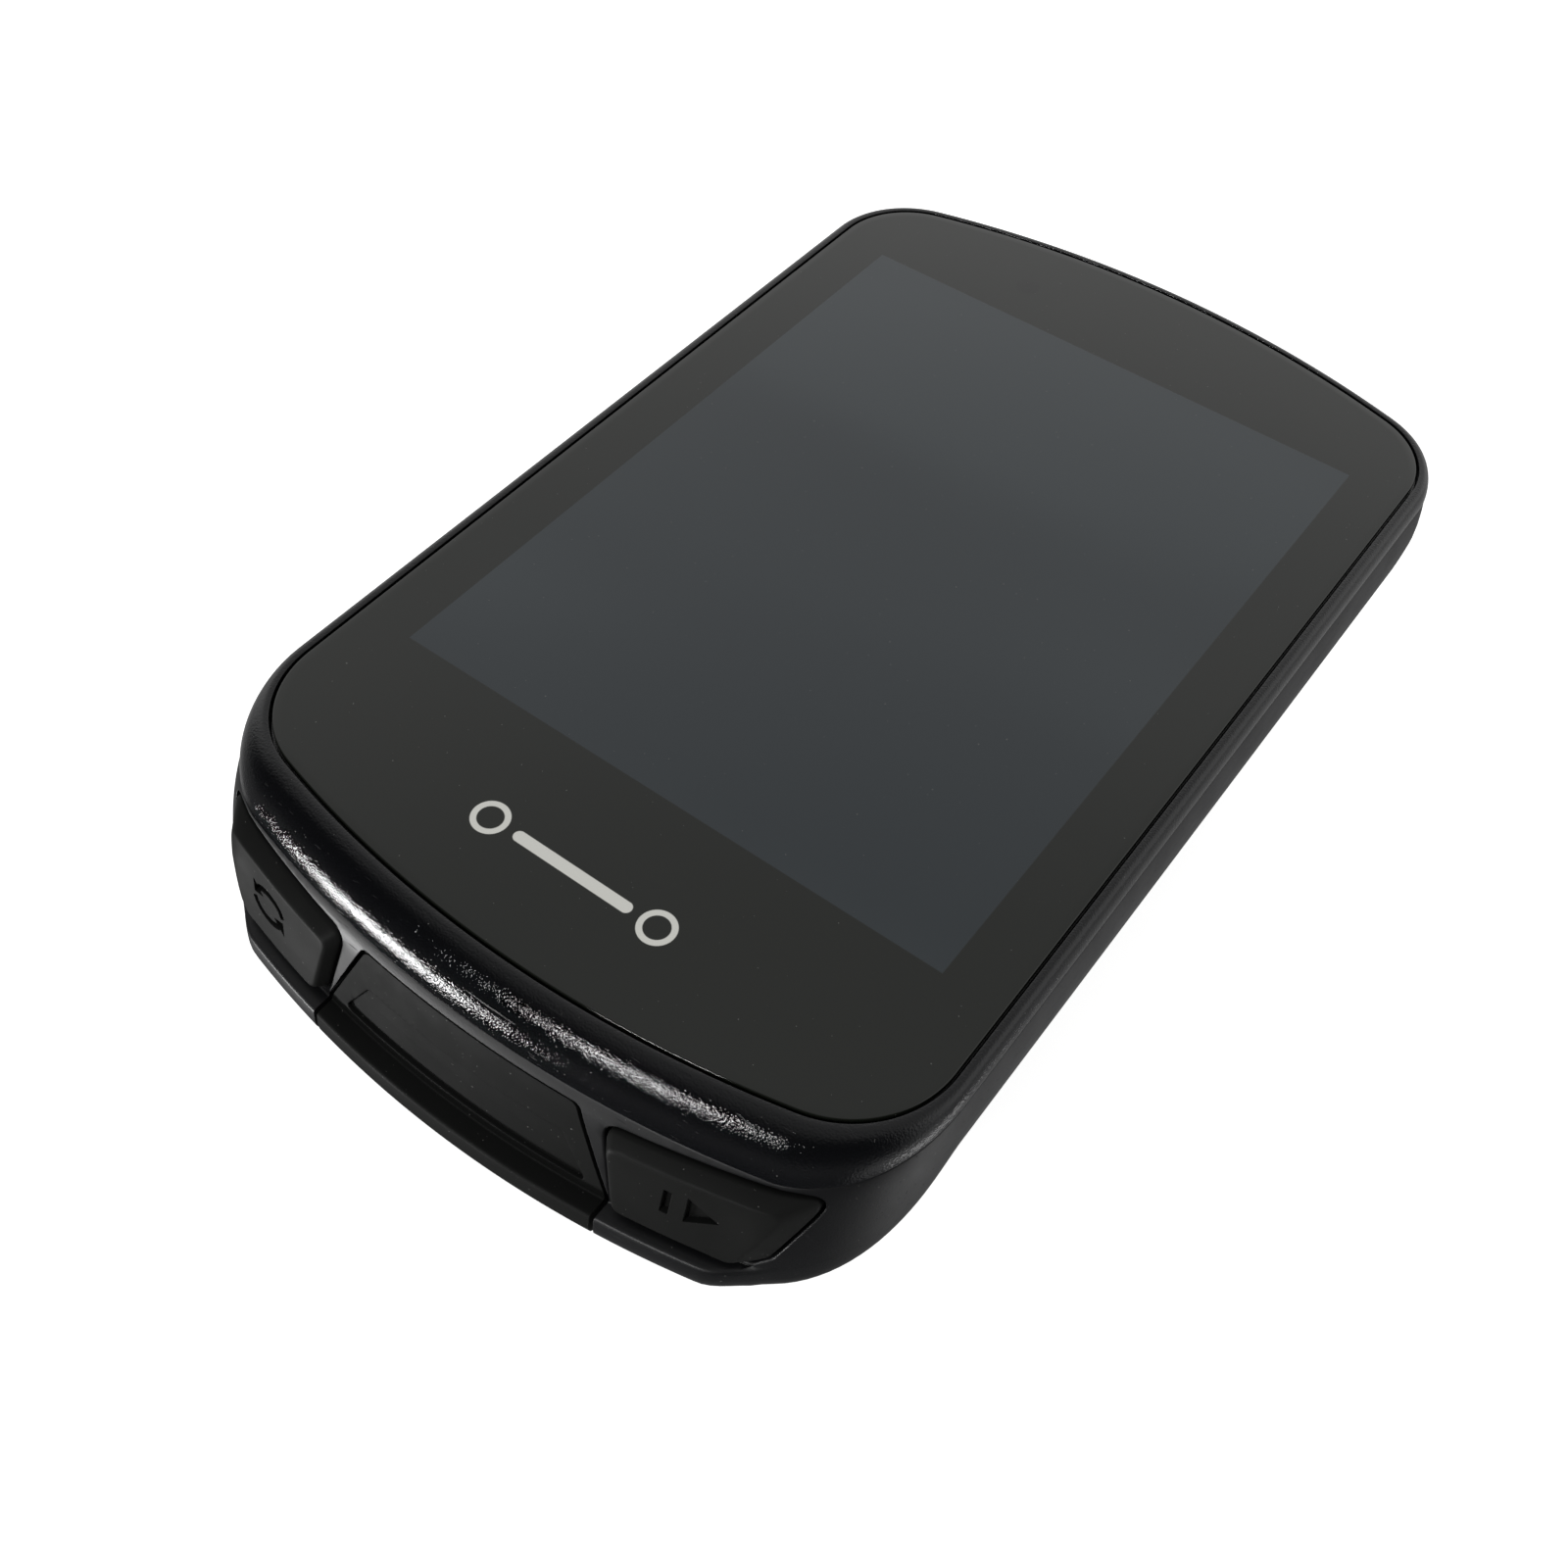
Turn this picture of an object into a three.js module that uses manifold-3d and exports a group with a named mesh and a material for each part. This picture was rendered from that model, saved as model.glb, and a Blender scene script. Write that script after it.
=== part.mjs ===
// A handlebar cycling computer: two shells, a flat cover glass, three keys, a hinged weather flap
// over the charging socket, and a quarter-turn mount on the back.
// Millimetres. +X to the rider's right, +Y away from the rider, +Z out of the screen.
// The origin is under the middle of the body, at the foot of the mount.

import * as THREE from 'three';
import { mergeVertices } from 'three/addons/utils/BufferGeometryUtils.js';
import Module from 'manifold-3d';

const wasm = await Module();
wasm.setup();

// ---------------------------------------------------------------- driving dimensions
const THICKNESS = 20;              // foot of the mount to the top of the glass
const BACK_DEPTH = 16;             // top of the glass to the flat of the back
const WINDOW = { halfWidth: 19.6, halfLength: 25.7, y: 4.95 };
const GLASS = {
  halfWidth: 23.69,
  far: { apex: 40.51, endRadius: 68.4, cornerRadius: 6.07 },
  rider: { apex: -34.77, endRadius: 76.1, cornerRadius: 7.0 },
};
const BACK = {
  halfWidth: 14.0,
  far: { apex: 30, endRadius: 60, cornerRadius: 8 },
  rider: { apex: -26, endRadius: 60, cornerRadius: 8 },
};
const CAVITY_FLOOR = {
  halfWidth: 13.3,
  far: { apex: 28.8, endRadius: 60, cornerRadius: 7 },
  rider: { apex: -24.8, endRadius: 60, cornerRadius: 7 },
};
const GLASS_THICK = 0.7;
const ADHESIVE_THICK = 0.13;
const SEAT_DEPTH = 0.85;           // shelf that carries the glass
const CAVITY_DEPTH = 14.6;
const WALL_GAP = 0.02;             // stacked flat pieces

// The two keys of the rider's end. Corners are X and depth in the view from the rider; chamfers are
// given for the sides that follow each corner.
const KEY = { proud: 0.8, root: 2.7, flange: 0.35, flangeThick: 0.5, gap: 0.18, cornerRadius: 0.8 };
const KEY_FLANGE_LIMIT = { x: 20.7, top: 4.1, bottom: 8.5 };
const KEY_CORNERS = [[9.75, 4.2], [21.9, 3.5], [20.1, 8.4], [19.1, 9.5], [10.95, 9.7]];
const KEY_CHAMFERS = [0.55, 1.1, 0.8, 0.3, 0.5];
const SWITCH_X = 15.2;             // tactile switches behind the two keys of the rider's end

const KEY_OPENING = { out: 3, inside: -4.5 };   // how far its cutter stands out of and behind the band

const FLAP = {
  topDepth: 3.9, topHalf: 7.9, kinkDepth: 9.8, kinkHalf: 10.6, cornerRadius: 0.7, gap: 0.14, backY: -36.5,
};
const FLAP_RECESS = { topDepth: 6.5, topHalf: 7.3, lowDepth: 9.55, lowHalf: 9.25, cornerRadius: 0.4, sunk: 0.3 };
const POCKET = { halfWidth: 6.9, top: 4.9, bottom: 11.4, frontY: -36.3, backY: -32.3 };
const POCKET_BLOCK = { halfWidth: 8.6, top: 4.1, bottom: 12.4 };
const FLAP_SEAL = { inset: 0.2, wall: 0.7, rootY: -37.6, reachY: -35.6 };

const POWER_KEY = {
  y: 15, length: 11, depth: 5.6, width: 3.0, faceX: -25.2, round: 0.4, root: 2.1, flangeThick: 0.4, gap: 0.15,
};
// Limits beyond the body, for cutters that pass right through its wall.
const PAST = { riderY: -46, pocketY: -38, leftX: -26, insideLeftX: -20, depth: 18 };
const VENT = { x: -13.5, y: 26, radius: 0.6, reach: 4 };

const MOUNT = { coreRadius: 12.2, tabRadius: 15.2, tabThick: 2.0, tabAngle: 44, plateRadius: 15.2, plateThick: 0.8 };
const MOUNT_SCREW = { ring: 8.6, headRadius: 1.5, headThick: 1.0, shankRadius: 0.8, reach: 4 };
const CASE_SCREW = { headRadius: 1.5, headThick: 1.1, shankRadius: 0.8, seatDepth: 10.6, tipDepth: 4.6 };
const CASE_SCREW_PLACES = [[14.3, 34.5], [-14.3, 34.5], [16.2, -27.8], [-16.2, -27.8]];
const POST = { frontRadius: 2.0, coverRadius: 2.9, topDepth: 7.6, gap: 0.15 };
const WEB = { halfThick: 0.6, top: 1.6, bottom: 2.4, farY: 37.0, riderY: -31.9 };

const DISPLAY = {
  halfWidth: 20.8, y0: WINDOW.y - 27.6, y1: WINDOW.y + 27.4, cornerRadius: 0.6,
  panelBottom: 1.7, lightBottom: 2.6, frameBottom: 3.6, frameWall: 0.4,
};
const FLEX = { halfWidth: 7.5, thick: 0.15, steps: 20 };
const BOARD = {
  top: 6.2, thick: 1.0, halfWidth: 20.2, neckHalfWidth: 18.2, chamfer: 2, far: 31.8, rider: -32.8, shoulder: -24.5,
};
const CAN = { halfWidth: 13, y0: 2, y1: 24, cornerRadius: 1, top: 4.6, wall: 0.25 };
const ANTENNA = { halfWidth: 9, y0: 33.2, y1: 38.2, top: 2.8, bottom: 6.6 };
const SOCKET = { halfWidth: 3.75, height: 2.6, length: 5, wall: 0.3, tongueHalf: 1.8, tongueThick: 0.6 };
const SWITCH = { halfWidth: 2.3, thick: 1.8, height: 1.9, plungerHalf: 1, plungerHeight: 1, plungerReach: 0.8 };
const SENSOR = { x: -14.9, y: 27.9, half: 1.5, height: 1.0, holeRadius: 0.5 };
const BEEPER = { x: -11, y: -8, radius: 4.4, chamfer: 0.4, top: 4.7 };
const LIGHT_SENSOR = { x: -8.9, y: 34.45, half: 1.1, cornerRadius: 0.3, bottom: 1.5 };
const BATTERY = { halfWidth: 16.3, rider: -17, far: 29, top: 8.4, bottom: 13.6 };

// Profiles: [distance out from the glass edge, depth below the glass] at the side, at the rider's
// end and at the far end. Between them the corners blend with a power of the outline's slope.
const FRONT_SKIN = [
  { side: [0.20, 0.02], rider: [0.20, 0.02], far: [0.20, 0.02] },
  { side: [0.56, 0.00], rider: [0.50, 0.00], far: [0.52, 0.00] },
  { side: [0.80, 0.14], rider: [1.15, 0.18], far: [0.78, 0.14] },
  { side: [0.96, 0.40], rider: [1.80, 0.62], far: [0.90, 0.40] },
  { side: [1.07, 0.70], rider: [2.40, 1.35], far: [0.96, 0.70] },
  { side: [1.13, 1.00], rider: [2.80, 2.20], far: [1.00, 1.00] },
  { side: [1.16, 1.30], rider: [3.00, 3.15], far: [1.00, 1.30] },
];
const FRONT_INSIDE = [
  { side: [-1.15, 1.30], rider: [0.90, 3.15], far: [-1.40, 1.30] },
  { side: [-1.15, 2.40], rider: [0.90, 3.90], far: [-1.40, 2.40] },
  { side: [-2.40, 2.40], rider: [-2.40, 3.90], far: [-2.40, 2.40] },
  { side: [-2.40, SEAT_DEPTH], rider: [-2.40, SEAT_DEPTH], far: [-2.40, SEAT_DEPTH] },
  { side: [0.20, SEAT_DEPTH], rider: [0.20, SEAT_DEPTH], far: [0.20, SEAT_DEPTH] },
];
// recess is how far the key band is let into the hull there (the ledge under it stands proud instead),
// and sink is how much lower its foot lies.
const REAR_SKIN = [
  { side: [1.13, 1.45], rider: [2.92, 3.30], far: [0.97, 1.45] },
  { side: [1.26, 2.20], rider: [3.45, 4.10], far: [1.00, 2.20] },
  { side: [1.33, 2.80], rider: [4.12, 6.00], far: [1.03, 2.80], recess: 0.21 },
  { side: [1.39, 3.40], rider: [4.58, 8.00], far: [1.05, 3.40], recess: 0.18 },
  { side: [1.40, 4.00], rider: [4.90, 9.85], far: [1.05, 4.00], recess: 0.04, sink: 0.35 },
  { side: [1.40, 4.10], rider: [4.96, 10.20], far: [1.05, 4.10], recess: -1.18 },
  { side: [1.41, 4.50], rider: [5.16, 12.00], far: [1.05, 4.50], recess: -1.18 },
];
const REAR_INSIDE = [
  { side: [-0.55, 1.45], rider: [1.60, 3.30], far: [-0.80, 1.45] },
  { side: [-0.30, 3.00], rider: [2.40, 5.50], far: [-1.00, 3.00] },
  { side: [-0.19, 4.50], rider: [3.30, 9.00], far: [-1.00, 4.50] },
];
// From the widest ring to the flat of the back: [share of the way in, share of the way down].
const HULL_STEPS = [
  { side: [0.030, 0.259], rider: [0.045, 0.13], far: [0.05, 0.22] },
  { side: [0.118, 0.500], rider: [0.135, 0.27], far: [0.16, 0.44] },
  { side: [0.280, 0.707], rider: [0.28, 0.43], far: [0.33, 0.64] },
  { side: [0.500, 0.866], rider: [0.46, 0.62], far: [0.55, 0.81] },
  { side: [0.741, 0.966], rider: [0.72, 0.83], far: [0.78, 0.93] },
  { side: [1, 1], rider: [1, 1], far: [1, 1] },
];
const CAVITY_STEPS = [
  { side: [0.034, 0.259], rider: [0.05, 0.22], far: [0.05, 0.22] },
  { side: [0.134, 0.500], rider: [0.14, 0.42], far: [0.16, 0.44] },
  { side: [0.293, 0.707], rider: [0.28, 0.58], far: [0.33, 0.64] },
  { side: [0.500, 0.866], rider: [0.47, 0.74], far: [0.55, 0.81] },
  { side: [0.741, 0.966], rider: [0.72, 0.88], far: [0.78, 0.93] },
  { side: [1, 1], rider: [1, 1], far: [1, 1] },
];
const CASE_SEAL = [
  { side: [-0.65, 1.60], rider: [1.40, 3.30], far: [-0.90, 1.60] },
  { side: [-0.65, 2.20], rider: [1.40, 3.85], far: [-0.90, 2.20] },
  { side: [-1.05, 2.20], rider: [1.00, 3.85], far: [-1.30, 2.20] },
  { side: [-1.05, 1.60], rider: [1.00, 3.30], far: [-1.30, 1.60] },
];
const BAND_FADE = { from: 16.9, to: 20.6 };
const CORNER_POWER = 1.8;

// ---------------------------------------------------------------- helpers
const lerp = THREE.MathUtils.lerp;
const up = (depth) => THICKNESS - depth;

function facesOut(geometry) {
  const at = geometry.getAttribute('position');
  const index = geometry.getIndex();
  const corners = [new THREE.Vector3(), new THREE.Vector3(), new THREE.Vector3()];
  let volume = 0;
  for (let i = 0; i < index.count; i += 3) {
    corners.forEach((corner, j) => corner.fromBufferAttribute(at, index.getX(i + j)));
    volume += corners[0].dot(corners[1].clone().cross(corners[2]));
  }
  if (volume < 0) {
    for (let i = 0; i < index.count; i += 3) {
      const swap = index.getX(i + 1);
      index.setX(i + 1, index.getX(i + 2));
      index.setX(i + 2, swap);
    }
  }
  return geometry;
}

// Skins a list of rings that all have the same number of points. Ends are closed with fans, or the
// last ring is joined to the first.
function skin(rings, { loop = false } = {}) {
  const count = rings[0].length;
  const points = rings.flat();
  const faces = [];
  const spans = loop ? rings.length : rings.length - 1;
  for (let r = 0; r < spans; r += 1) {
    const low = r * count;
    const high = ((r + 1) % rings.length) * count;
    for (let i = 0; i < count; i += 1) {
      const j = (i + 1) % count;
      faces.push(low + i, low + j, high + j, low + i, high + j, high + i);
    }
  }
  if (!loop) {
    const last = (rings.length - 1) * count;
    for (const [start, turned] of [[0, true], [last, false]]) {
      const middle = new THREE.Vector3();
      for (let i = 0; i < count; i += 1) middle.addScaledVector(points[start + i], 1 / count);
      points.push(middle);
      const centre = points.length - 1;
      for (let i = 0; i < count; i += 1) {
        const j = (i + 1) % count;
        if (turned) faces.push(centre, start + j, start + i);
        else faces.push(centre, start + i, start + j);
      }
    }
  }
  const geometry = new THREE.BufferGeometry().setFromPoints(points);
  geometry.setIndex(faces);
  return facesOut(geometry);
}

function toManifold(geometry) {
  const bare = geometry.clone();
  bare.deleteAttribute('normal');
  bare.deleteAttribute('uv');
  const merged = mergeVertices(bare, 1e-5);
  const vertProperties = new Float32Array(merged.getAttribute('position').array);
  const triVerts = new Uint32Array(merged.getIndex().array);
  return new wasm.Manifold(new wasm.Mesh({ numProp: 3, vertProperties, triVerts }));
}

function fromManifold(manifold) {
  const mesh = manifold.getMesh();
  const geometry = new THREE.BufferGeometry();
  geometry.setAttribute('position', new THREE.BufferAttribute(new Float32Array(mesh.vertProperties), 3));
  geometry.setIndex(new THREE.BufferAttribute(new Uint32Array(mesh.triVerts), 1));
  return geometry;
}

// Joins the first solid with those in add, keeps what also lies in those of keep, then takes away those in cut.
function carve(first, { add = [], cut = [], keep = [] } = {}) {
  let result = toManifold(first);
  for (const geometry of add) result = result.add(toManifold(geometry));
  for (const geometry of keep) result = result.intersect(toManifold(geometry));
  for (const geometry of cut) result = result.subtract(toManifold(geometry));
  return fromManifold(result);
}

// A box from its limits: x, y and depth below the glass.
function block(x0, x1, y0, y1, top, bottom) {
  const geometry = new THREE.BoxGeometry(x1 - x0, y1 - y0, bottom - top);
  return geometry.translate((x0 + x1) / 2, (y0 + y1) / 2, up((top + bottom) / 2));
}

function column(x, y, radius, top, bottom, sides = 16) {
  const geometry = new THREE.CylinderGeometry(radius, radius, bottom - top, sides);
  return geometry.rotateX(Math.PI / 2).translate(x, y, up((top + bottom) / 2));
}

function roundedRectangle(halfWidth, y0, y1, radius) {
  const shape = new THREE.Shape();
  shape.moveTo(-halfWidth + radius, y0);
  shape.lineTo(halfWidth - radius, y0);
  shape.absarc(halfWidth - radius, y0 + radius, radius, -Math.PI / 2, 0);
  shape.lineTo(halfWidth, y1 - radius);
  shape.absarc(halfWidth - radius, y1 - radius, radius, 0, Math.PI / 2);
  shape.lineTo(-halfWidth + radius, y1);
  shape.absarc(-halfWidth + radius, y1 - radius, radius, Math.PI / 2, Math.PI);
  shape.lineTo(-halfWidth, y0 + radius);
  shape.absarc(-halfWidth + radius, y0 + radius, radius, Math.PI, 1.5 * Math.PI);
  return shape;
}

// A flat slab of a shape drawn in X and Y, between two depths.
function slab(shape, top, bottom, curveSegments = 2) {
  const options = { depth: bottom - top, bevelEnabled: false, curveSegments };
  return new THREE.ExtrudeGeometry(shape, options).translate(0, 0, up(bottom));
}

// Rounds the corners of a closed outline, given as [a, b] pairs, with tangent arcs.
function roundCorners(corners, radius, steps = 3) {
  const outline = [];
  corners.forEach((corner, i) => {
    const here = new THREE.Vector2(...corner);
    const before = new THREE.Vector2(...corners[(i + corners.length - 1) % corners.length]).sub(here);
    const after = new THREE.Vector2(...corners[(i + 1) % corners.length]).sub(here);
    const a = before.clone().normalize();
    const b = after.clone().normalize();
    const half = Math.acos(THREE.MathUtils.clamp(a.dot(b), -1, 1)) / 2;
    const reach = Math.min(radius / Math.tan(half), before.length() * 0.45, after.length() * 0.45);
    const start = here.clone().addScaledVector(a, reach);
    const end = here.clone().addScaledVector(b, reach);
    const curve = new THREE.QuadraticBezierCurve(start, here, end);
    outline.push(...curve.getPoints(steps));
  });
  return outline;
}

// Moves every side of a convex outline inwards by its own distance (outwards when negative).
function insetCorners(corners, distances) {
  const area = corners.reduce((sum, [a, b], i) => {
    const [c, d] = corners[(i + 1) % corners.length];
    return sum + a * d - c * b;
  }, 0);
  const turn = Math.sign(area);
  const sides = corners.map((corner, i) => {
    const from = new THREE.Vector2(...corner);
    const along = new THREE.Vector2(...corners[(i + 1) % corners.length]).sub(from).normalize();
    const inward = new THREE.Vector2(-along.y, along.x).multiplyScalar(turn * distances[i]);
    return { from: from.add(inward), along };
  });
  return sides.map((side, i) => {
    const last = sides[(i + sides.length - 1) % sides.length];
    const across = side.from.clone().sub(last.from);
    const step = across.cross(side.along) / last.along.cross(side.along);
    const meet = last.from.clone().addScaledVector(last.along, step);
    return [meet.x, meet.y];
  });
}

// ---------------------------------------------------------------- the body's outline and surface
const ARC_STEPS = { riderEnd: 8, riderCorner: 8, farCorner: 6, farEnd: 8 };

function cornerCentre({ apex, endRadius, cornerRadius }, halfWidth, sign) {
  const x = halfWidth - cornerRadius;
  const drop = Math.sqrt((endRadius - cornerRadius) ** 2 - x ** 2);
  const y = apex - sign * endRadius + sign * drop;
  return { x, y, slope: Math.atan2(drop, x) };
}

// Half of an outline, from the middle of the rider's end up the right side to the middle of the
// far end, as stretches of arcs given by their centre, radius and range of normal directions.
function halfOutlineArcs({ halfWidth, far, rider }) {
  const low = cornerCentre(rider, halfWidth, -1);
  const high = cornerCentre(far, halfWidth, 1);
  return [
    { x: 0, y: rider.apex + rider.endRadius, radius: rider.endRadius,
      from: -Math.PI / 2, to: -low.slope, steps: ARC_STEPS.riderEnd },
    { x: low.x, y: low.y, radius: rider.cornerRadius, from: -low.slope, to: 0, steps: ARC_STEPS.riderCorner },
    { x: high.x, y: high.y, radius: far.cornerRadius, from: 0, to: high.slope, steps: ARC_STEPS.farCorner },
    { x: 0, y: far.apex - far.endRadius, radius: far.endRadius,
      from: high.slope, to: Math.PI / 2, steps: ARC_STEPS.farEnd },
  ];
}

function outline(spec) {
  const right = [];
  halfOutlineArcs(spec).forEach((arc, k) => {
    for (let i = k === 0 || k === 2 ? 0 : 1; i <= arc.steps; i += 1) {
      const angle = lerp(arc.from, arc.to, i / arc.steps);
      const nx = Math.cos(angle);
      const ny = Math.sin(angle);
      right.push({ x: arc.x + arc.radius * nx, y: arc.y + arc.radius * ny, nx, ny });
    }
  });
  const left = right.slice(1, -1).reverse().map((p) => ({ x: -p.x, y: p.y, nx: -p.nx, ny: p.ny }));
  return [...right, ...left];
}

const GLASS_OUTLINE = outline(GLASS);

// The blend of a station's side value with its value at the end that the outline point faces.
function blend(station, point) {
  const end = point.ny < 0 ? station.rider : station.far;
  const weight = Math.abs(point.ny) ** CORNER_POWER;
  return [lerp(station.side[0], end[0], weight), lerp(station.side[1], end[1], weight)];
}

function bandFade(x, ny) {
  return ny < 0 ? 1 - THREE.MathUtils.smoothstep(Math.abs(x), BAND_FADE.from, BAND_FADE.to) : 0;
}

function stationAt(station, point) {
  const [out, depth] = blend(station, point);
  const fade = bandFade(point.x + point.nx * out, point.ny);
  return [out - (station.recess ?? 0) * fade, depth + (station.sink ?? 0) * fade];
}

function ring(station) {
  return GLASS_OUTLINE.map((point) => {
    const [out, depth] = stationAt(station, point);
    return new THREE.Vector3(point.x + point.nx * out, point.y + point.ny * out, up(depth));
  });
}

const level = (out, depth) => ring({ side: [out, depth], rider: [out, depth], far: [out, depth] });

// Rings from the widest station down to a flat outline at the given depth.
function hullRings(widest, steps, flat, flatDepth) {
  const start = ring(widest);
  const end = outline(flat);
  return steps.map((step) => start.map((from, i) => {
    const [inward, down] = blend(step, GLASS_OUTLINE[i]);
    const x = lerp(from.x, end[i].x, inward);
    const y = lerp(from.y, end[i].y, inward);
    return new THREE.Vector3(x, y, lerp(from.z, up(flatDepth), down));
  }));
}

const outerRings = [
  ...REAR_SKIN.map(ring),
  ...hullRings(REAR_SKIN.at(-1), HULL_STEPS, BACK, BACK_DEPTH),
];
const innerRings = [
  ...REAR_INSIDE.map(ring),
  ...hullRings(REAR_INSIDE.at(-1), CAVITY_STEPS, CAVITY_FLOOR, CAVITY_DEPTH),
];

const hull = skin(outerRings);

// The bowl of the rear shell: its skin, turned in at the top edge, and its cavity.
function bowl() {
  return skin([...[...outerRings].reverse(), ...innerRings]);
}

// The Y of the key band's surface over a point in the front view.
function bandY(x, depth) {
  const arcs = halfOutlineArcs(GLASS).slice(0, 2);
  const pointAt = (angle) => {
    const arc = angle <= arcs[0].to ? arcs[0] : arcs[1];
    const nx = Math.cos(angle);
    const ny = Math.sin(angle);
    return { x: arc.x + arc.radius * nx, y: arc.y + arc.radius * ny, nx, ny };
  };
  const surface = (angle) => {
    const point = pointAt(angle);
    const profile = REAR_SKIN.slice(0, 5).map((station) => stationAt(station, point));
    let k = 0;
    while (k < profile.length - 2 && profile[k + 1][1] < depth) k += 1;
    const [[out0, depth0], [out1, depth1]] = [profile[k], profile[k + 1]];
    const out = out0 + ((out1 - out0) * (depth - depth0)) / (depth1 - depth0);
    return { x: point.x + point.nx * out, y: point.y + point.ny * out };
  };
  let low = -Math.PI / 2;
  let high = -0.2;
  for (let i = 0; i < 40; i += 1) {
    const middle = (low + high) / 2;
    if (surface(middle).x < Math.abs(x)) low = middle;
    else high = middle;
  }
  return surface(low).y;
}

// A ring of a piece that slides along Y in the band: an outline in the front view, laid on the
// band and moved out by a distance.
function bandRing(corners, radius, mirror, out) {
  return roundCorners(corners, radius).map(({ x, y: depth }) => (
    new THREE.Vector3(mirror * x, bandY(x, depth) - out, up(depth))
  ));
}

// ---------------------------------------------------------------- shells
function frontHousing() {
  const shell = skin([...FRONT_SKIN.map(ring), ...FRONT_INSIDE.map(ring)], { loop: true });
  const posts = CASE_SCREW_PLACES.map(([x, y]) => {
    return column(x, y, POST.frontRadius, WEB.top, POST.topDepth - POST.gap);
  });
  const webs = CASE_SCREW_PLACES.map(([x, y]) => {
    const reach = y > 0 ? [y, WEB.farY] : [WEB.riderY, y];
    return block(x - WEB.halfThick, x + WEB.halfThick, ...reach, WEB.top, WEB.bottom);
  });
  const holes = CASE_SCREW_PLACES.map(([x, y]) => {
    return column(x, y, CASE_SCREW.shankRadius + 0.1, CASE_SCREW.tipDepth - 0.4, POST.topDepth + 1);
  });
  return carve(shell, { add: [...posts, ...webs], cut: holes });
}

function keyOpening(mirror) {
  const corners = insetCorners(KEY_CORNERS, KEY_CORNERS.map(() => -KEY.gap));
  const radius = KEY.cornerRadius + KEY.gap;
  return skin([KEY_OPENING.out, KEY_OPENING.inside].map((out) => bandRing(corners, radius, mirror, out)));
}

function flapOutline(grow, lowDepth) {
  const { topDepth, topHalf, kinkDepth, kinkHalf } = FLAP;
  const corners = [
    [-topHalf - grow, topDepth - grow], [topHalf + grow, topDepth - grow],
    [kinkHalf + grow, kinkDepth], [kinkHalf + grow, lowDepth],
    [-kinkHalf - grow, lowDepth], [-kinkHalf - grow, kinkDepth],
  ];
  return roundCorners(corners, FLAP.cornerRadius);
}

// Extrudes a front-view outline, in X and depth, along Y.
function frontPrism(points, y0, y1) {
  const at = (y) => points.map((p) => new THREE.Vector3(p.x, y, up(p.y)));
  return skin([at(y0), at(y1)]);
}

function flapOpening() {
  return frontPrism(flapOutline(FLAP.gap, PAST.depth), PAST.riderY, FLAP.backY + 2 * FLAP.gap);
}

function pocketBlock() {
  const { halfWidth, top, bottom } = POCKET_BLOCK;
  return block(-halfWidth, halfWidth, POCKET.frontY, POCKET.backY, top, bottom);
}

const mountScrewPlaces = [45, 135, 225, 315].map((degrees) => {
  const angle = THREE.MathUtils.degToRad(degrees);
  return [MOUNT_SCREW.ring * Math.cos(angle), MOUNT_SCREW.ring * Math.sin(angle)];
});

function powerKeyOutline(grow) {
  const { y, length, depth, width } = POWER_KEY;
  const corners = [
    [y - length / 2 - grow, depth - width / 2 - grow], [y + length / 2 + grow, depth - width / 2 - grow],
    [y + length / 2 + grow, depth + width / 2 + grow], [y - length / 2 - grow, depth + width / 2 + grow],
  ];
  return roundCorners(corners, width / 2 + grow, 6);
}

// Extrudes a side-view outline, in Y and depth, along X.
function sidePrism(points, x0, x1) {
  const at = (x) => points.map((p) => new THREE.Vector3(x, p.x, up(p.y)));
  return skin([at(x0), at(x1)]);
}

function rearCover() {
  const shell = carve(bowl(), { cut: [flapOpening()] });
  const posts = CASE_SCREW_PLACES.map(([x, y]) => {
    return carve(hull, { keep: [column(x, y, POST.coverRadius, POST.topDepth, PAST.depth)] });
  });
  const screwHoles = CASE_SCREW_PLACES.flatMap(([x, y]) => [
    column(x, y, CASE_SCREW.shankRadius + 0.15, POST.topDepth - 1, PAST.depth),
    column(x, y, CASE_SCREW.headRadius + 0.2, CASE_SCREW.seatDepth, PAST.depth),
  ]);
  const mountHoles = mountScrewPlaces.map(([x, y]) => {
    return column(x, y, MOUNT_SCREW.shankRadius + 0.1, CAVITY_DEPTH - 0.5, BACK_DEPTH + 1, 16);
  });
  const ventHole = column(VENT.x, VENT.y, VENT.radius, CAVITY_DEPTH - VENT.reach, BACK_DEPTH + 1, 12);
  const { halfWidth, backY, top, bottom } = POCKET;
  const usbPocket = block(-halfWidth, halfWidth, PAST.pocketY, backY + 1, top, bottom);
  return carve(shell, {
    add: [pocketBlock(), ...posts],
    cut: [
      keyOpening(1), keyOpening(-1), usbPocket, ventHole,
      sidePrism(powerKeyOutline(POWER_KEY.gap), PAST.leftX, PAST.insideLeftX),
      ...screwHoles, ...mountHoles,
    ],
  });
}

function caseSeal() {
  return skin(CASE_SEAL.map(ring), { loop: true });
}

// ---------------------------------------------------------------- glass and display
function coverGlass() {
  return skin([level(-0.12, 0), level(0, 0.1), level(0, GLASS_THICK)]);
}

function glassAdhesive() {
  const top = GLASS_THICK + 0.01;
  const bottom = top + ADHESIVE_THICK;
  return skin([level(-0.15, top), level(-0.15, bottom), level(-2.2, bottom), level(-2.2, top)], { loop: true });
}

// A rectangle that lies within the display's outline by a distance.
function displayShape(inset) {
  const { halfWidth, y0, y1, cornerRadius } = DISPLAY;
  return roundedRectangle(halfWidth - inset, y0 + inset, y1 - inset, cornerRadius);
}

function displayPanel() {
  return slab(displayShape(0), GLASS_THICK + WALL_GAP, DISPLAY.panelBottom);
}

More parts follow.
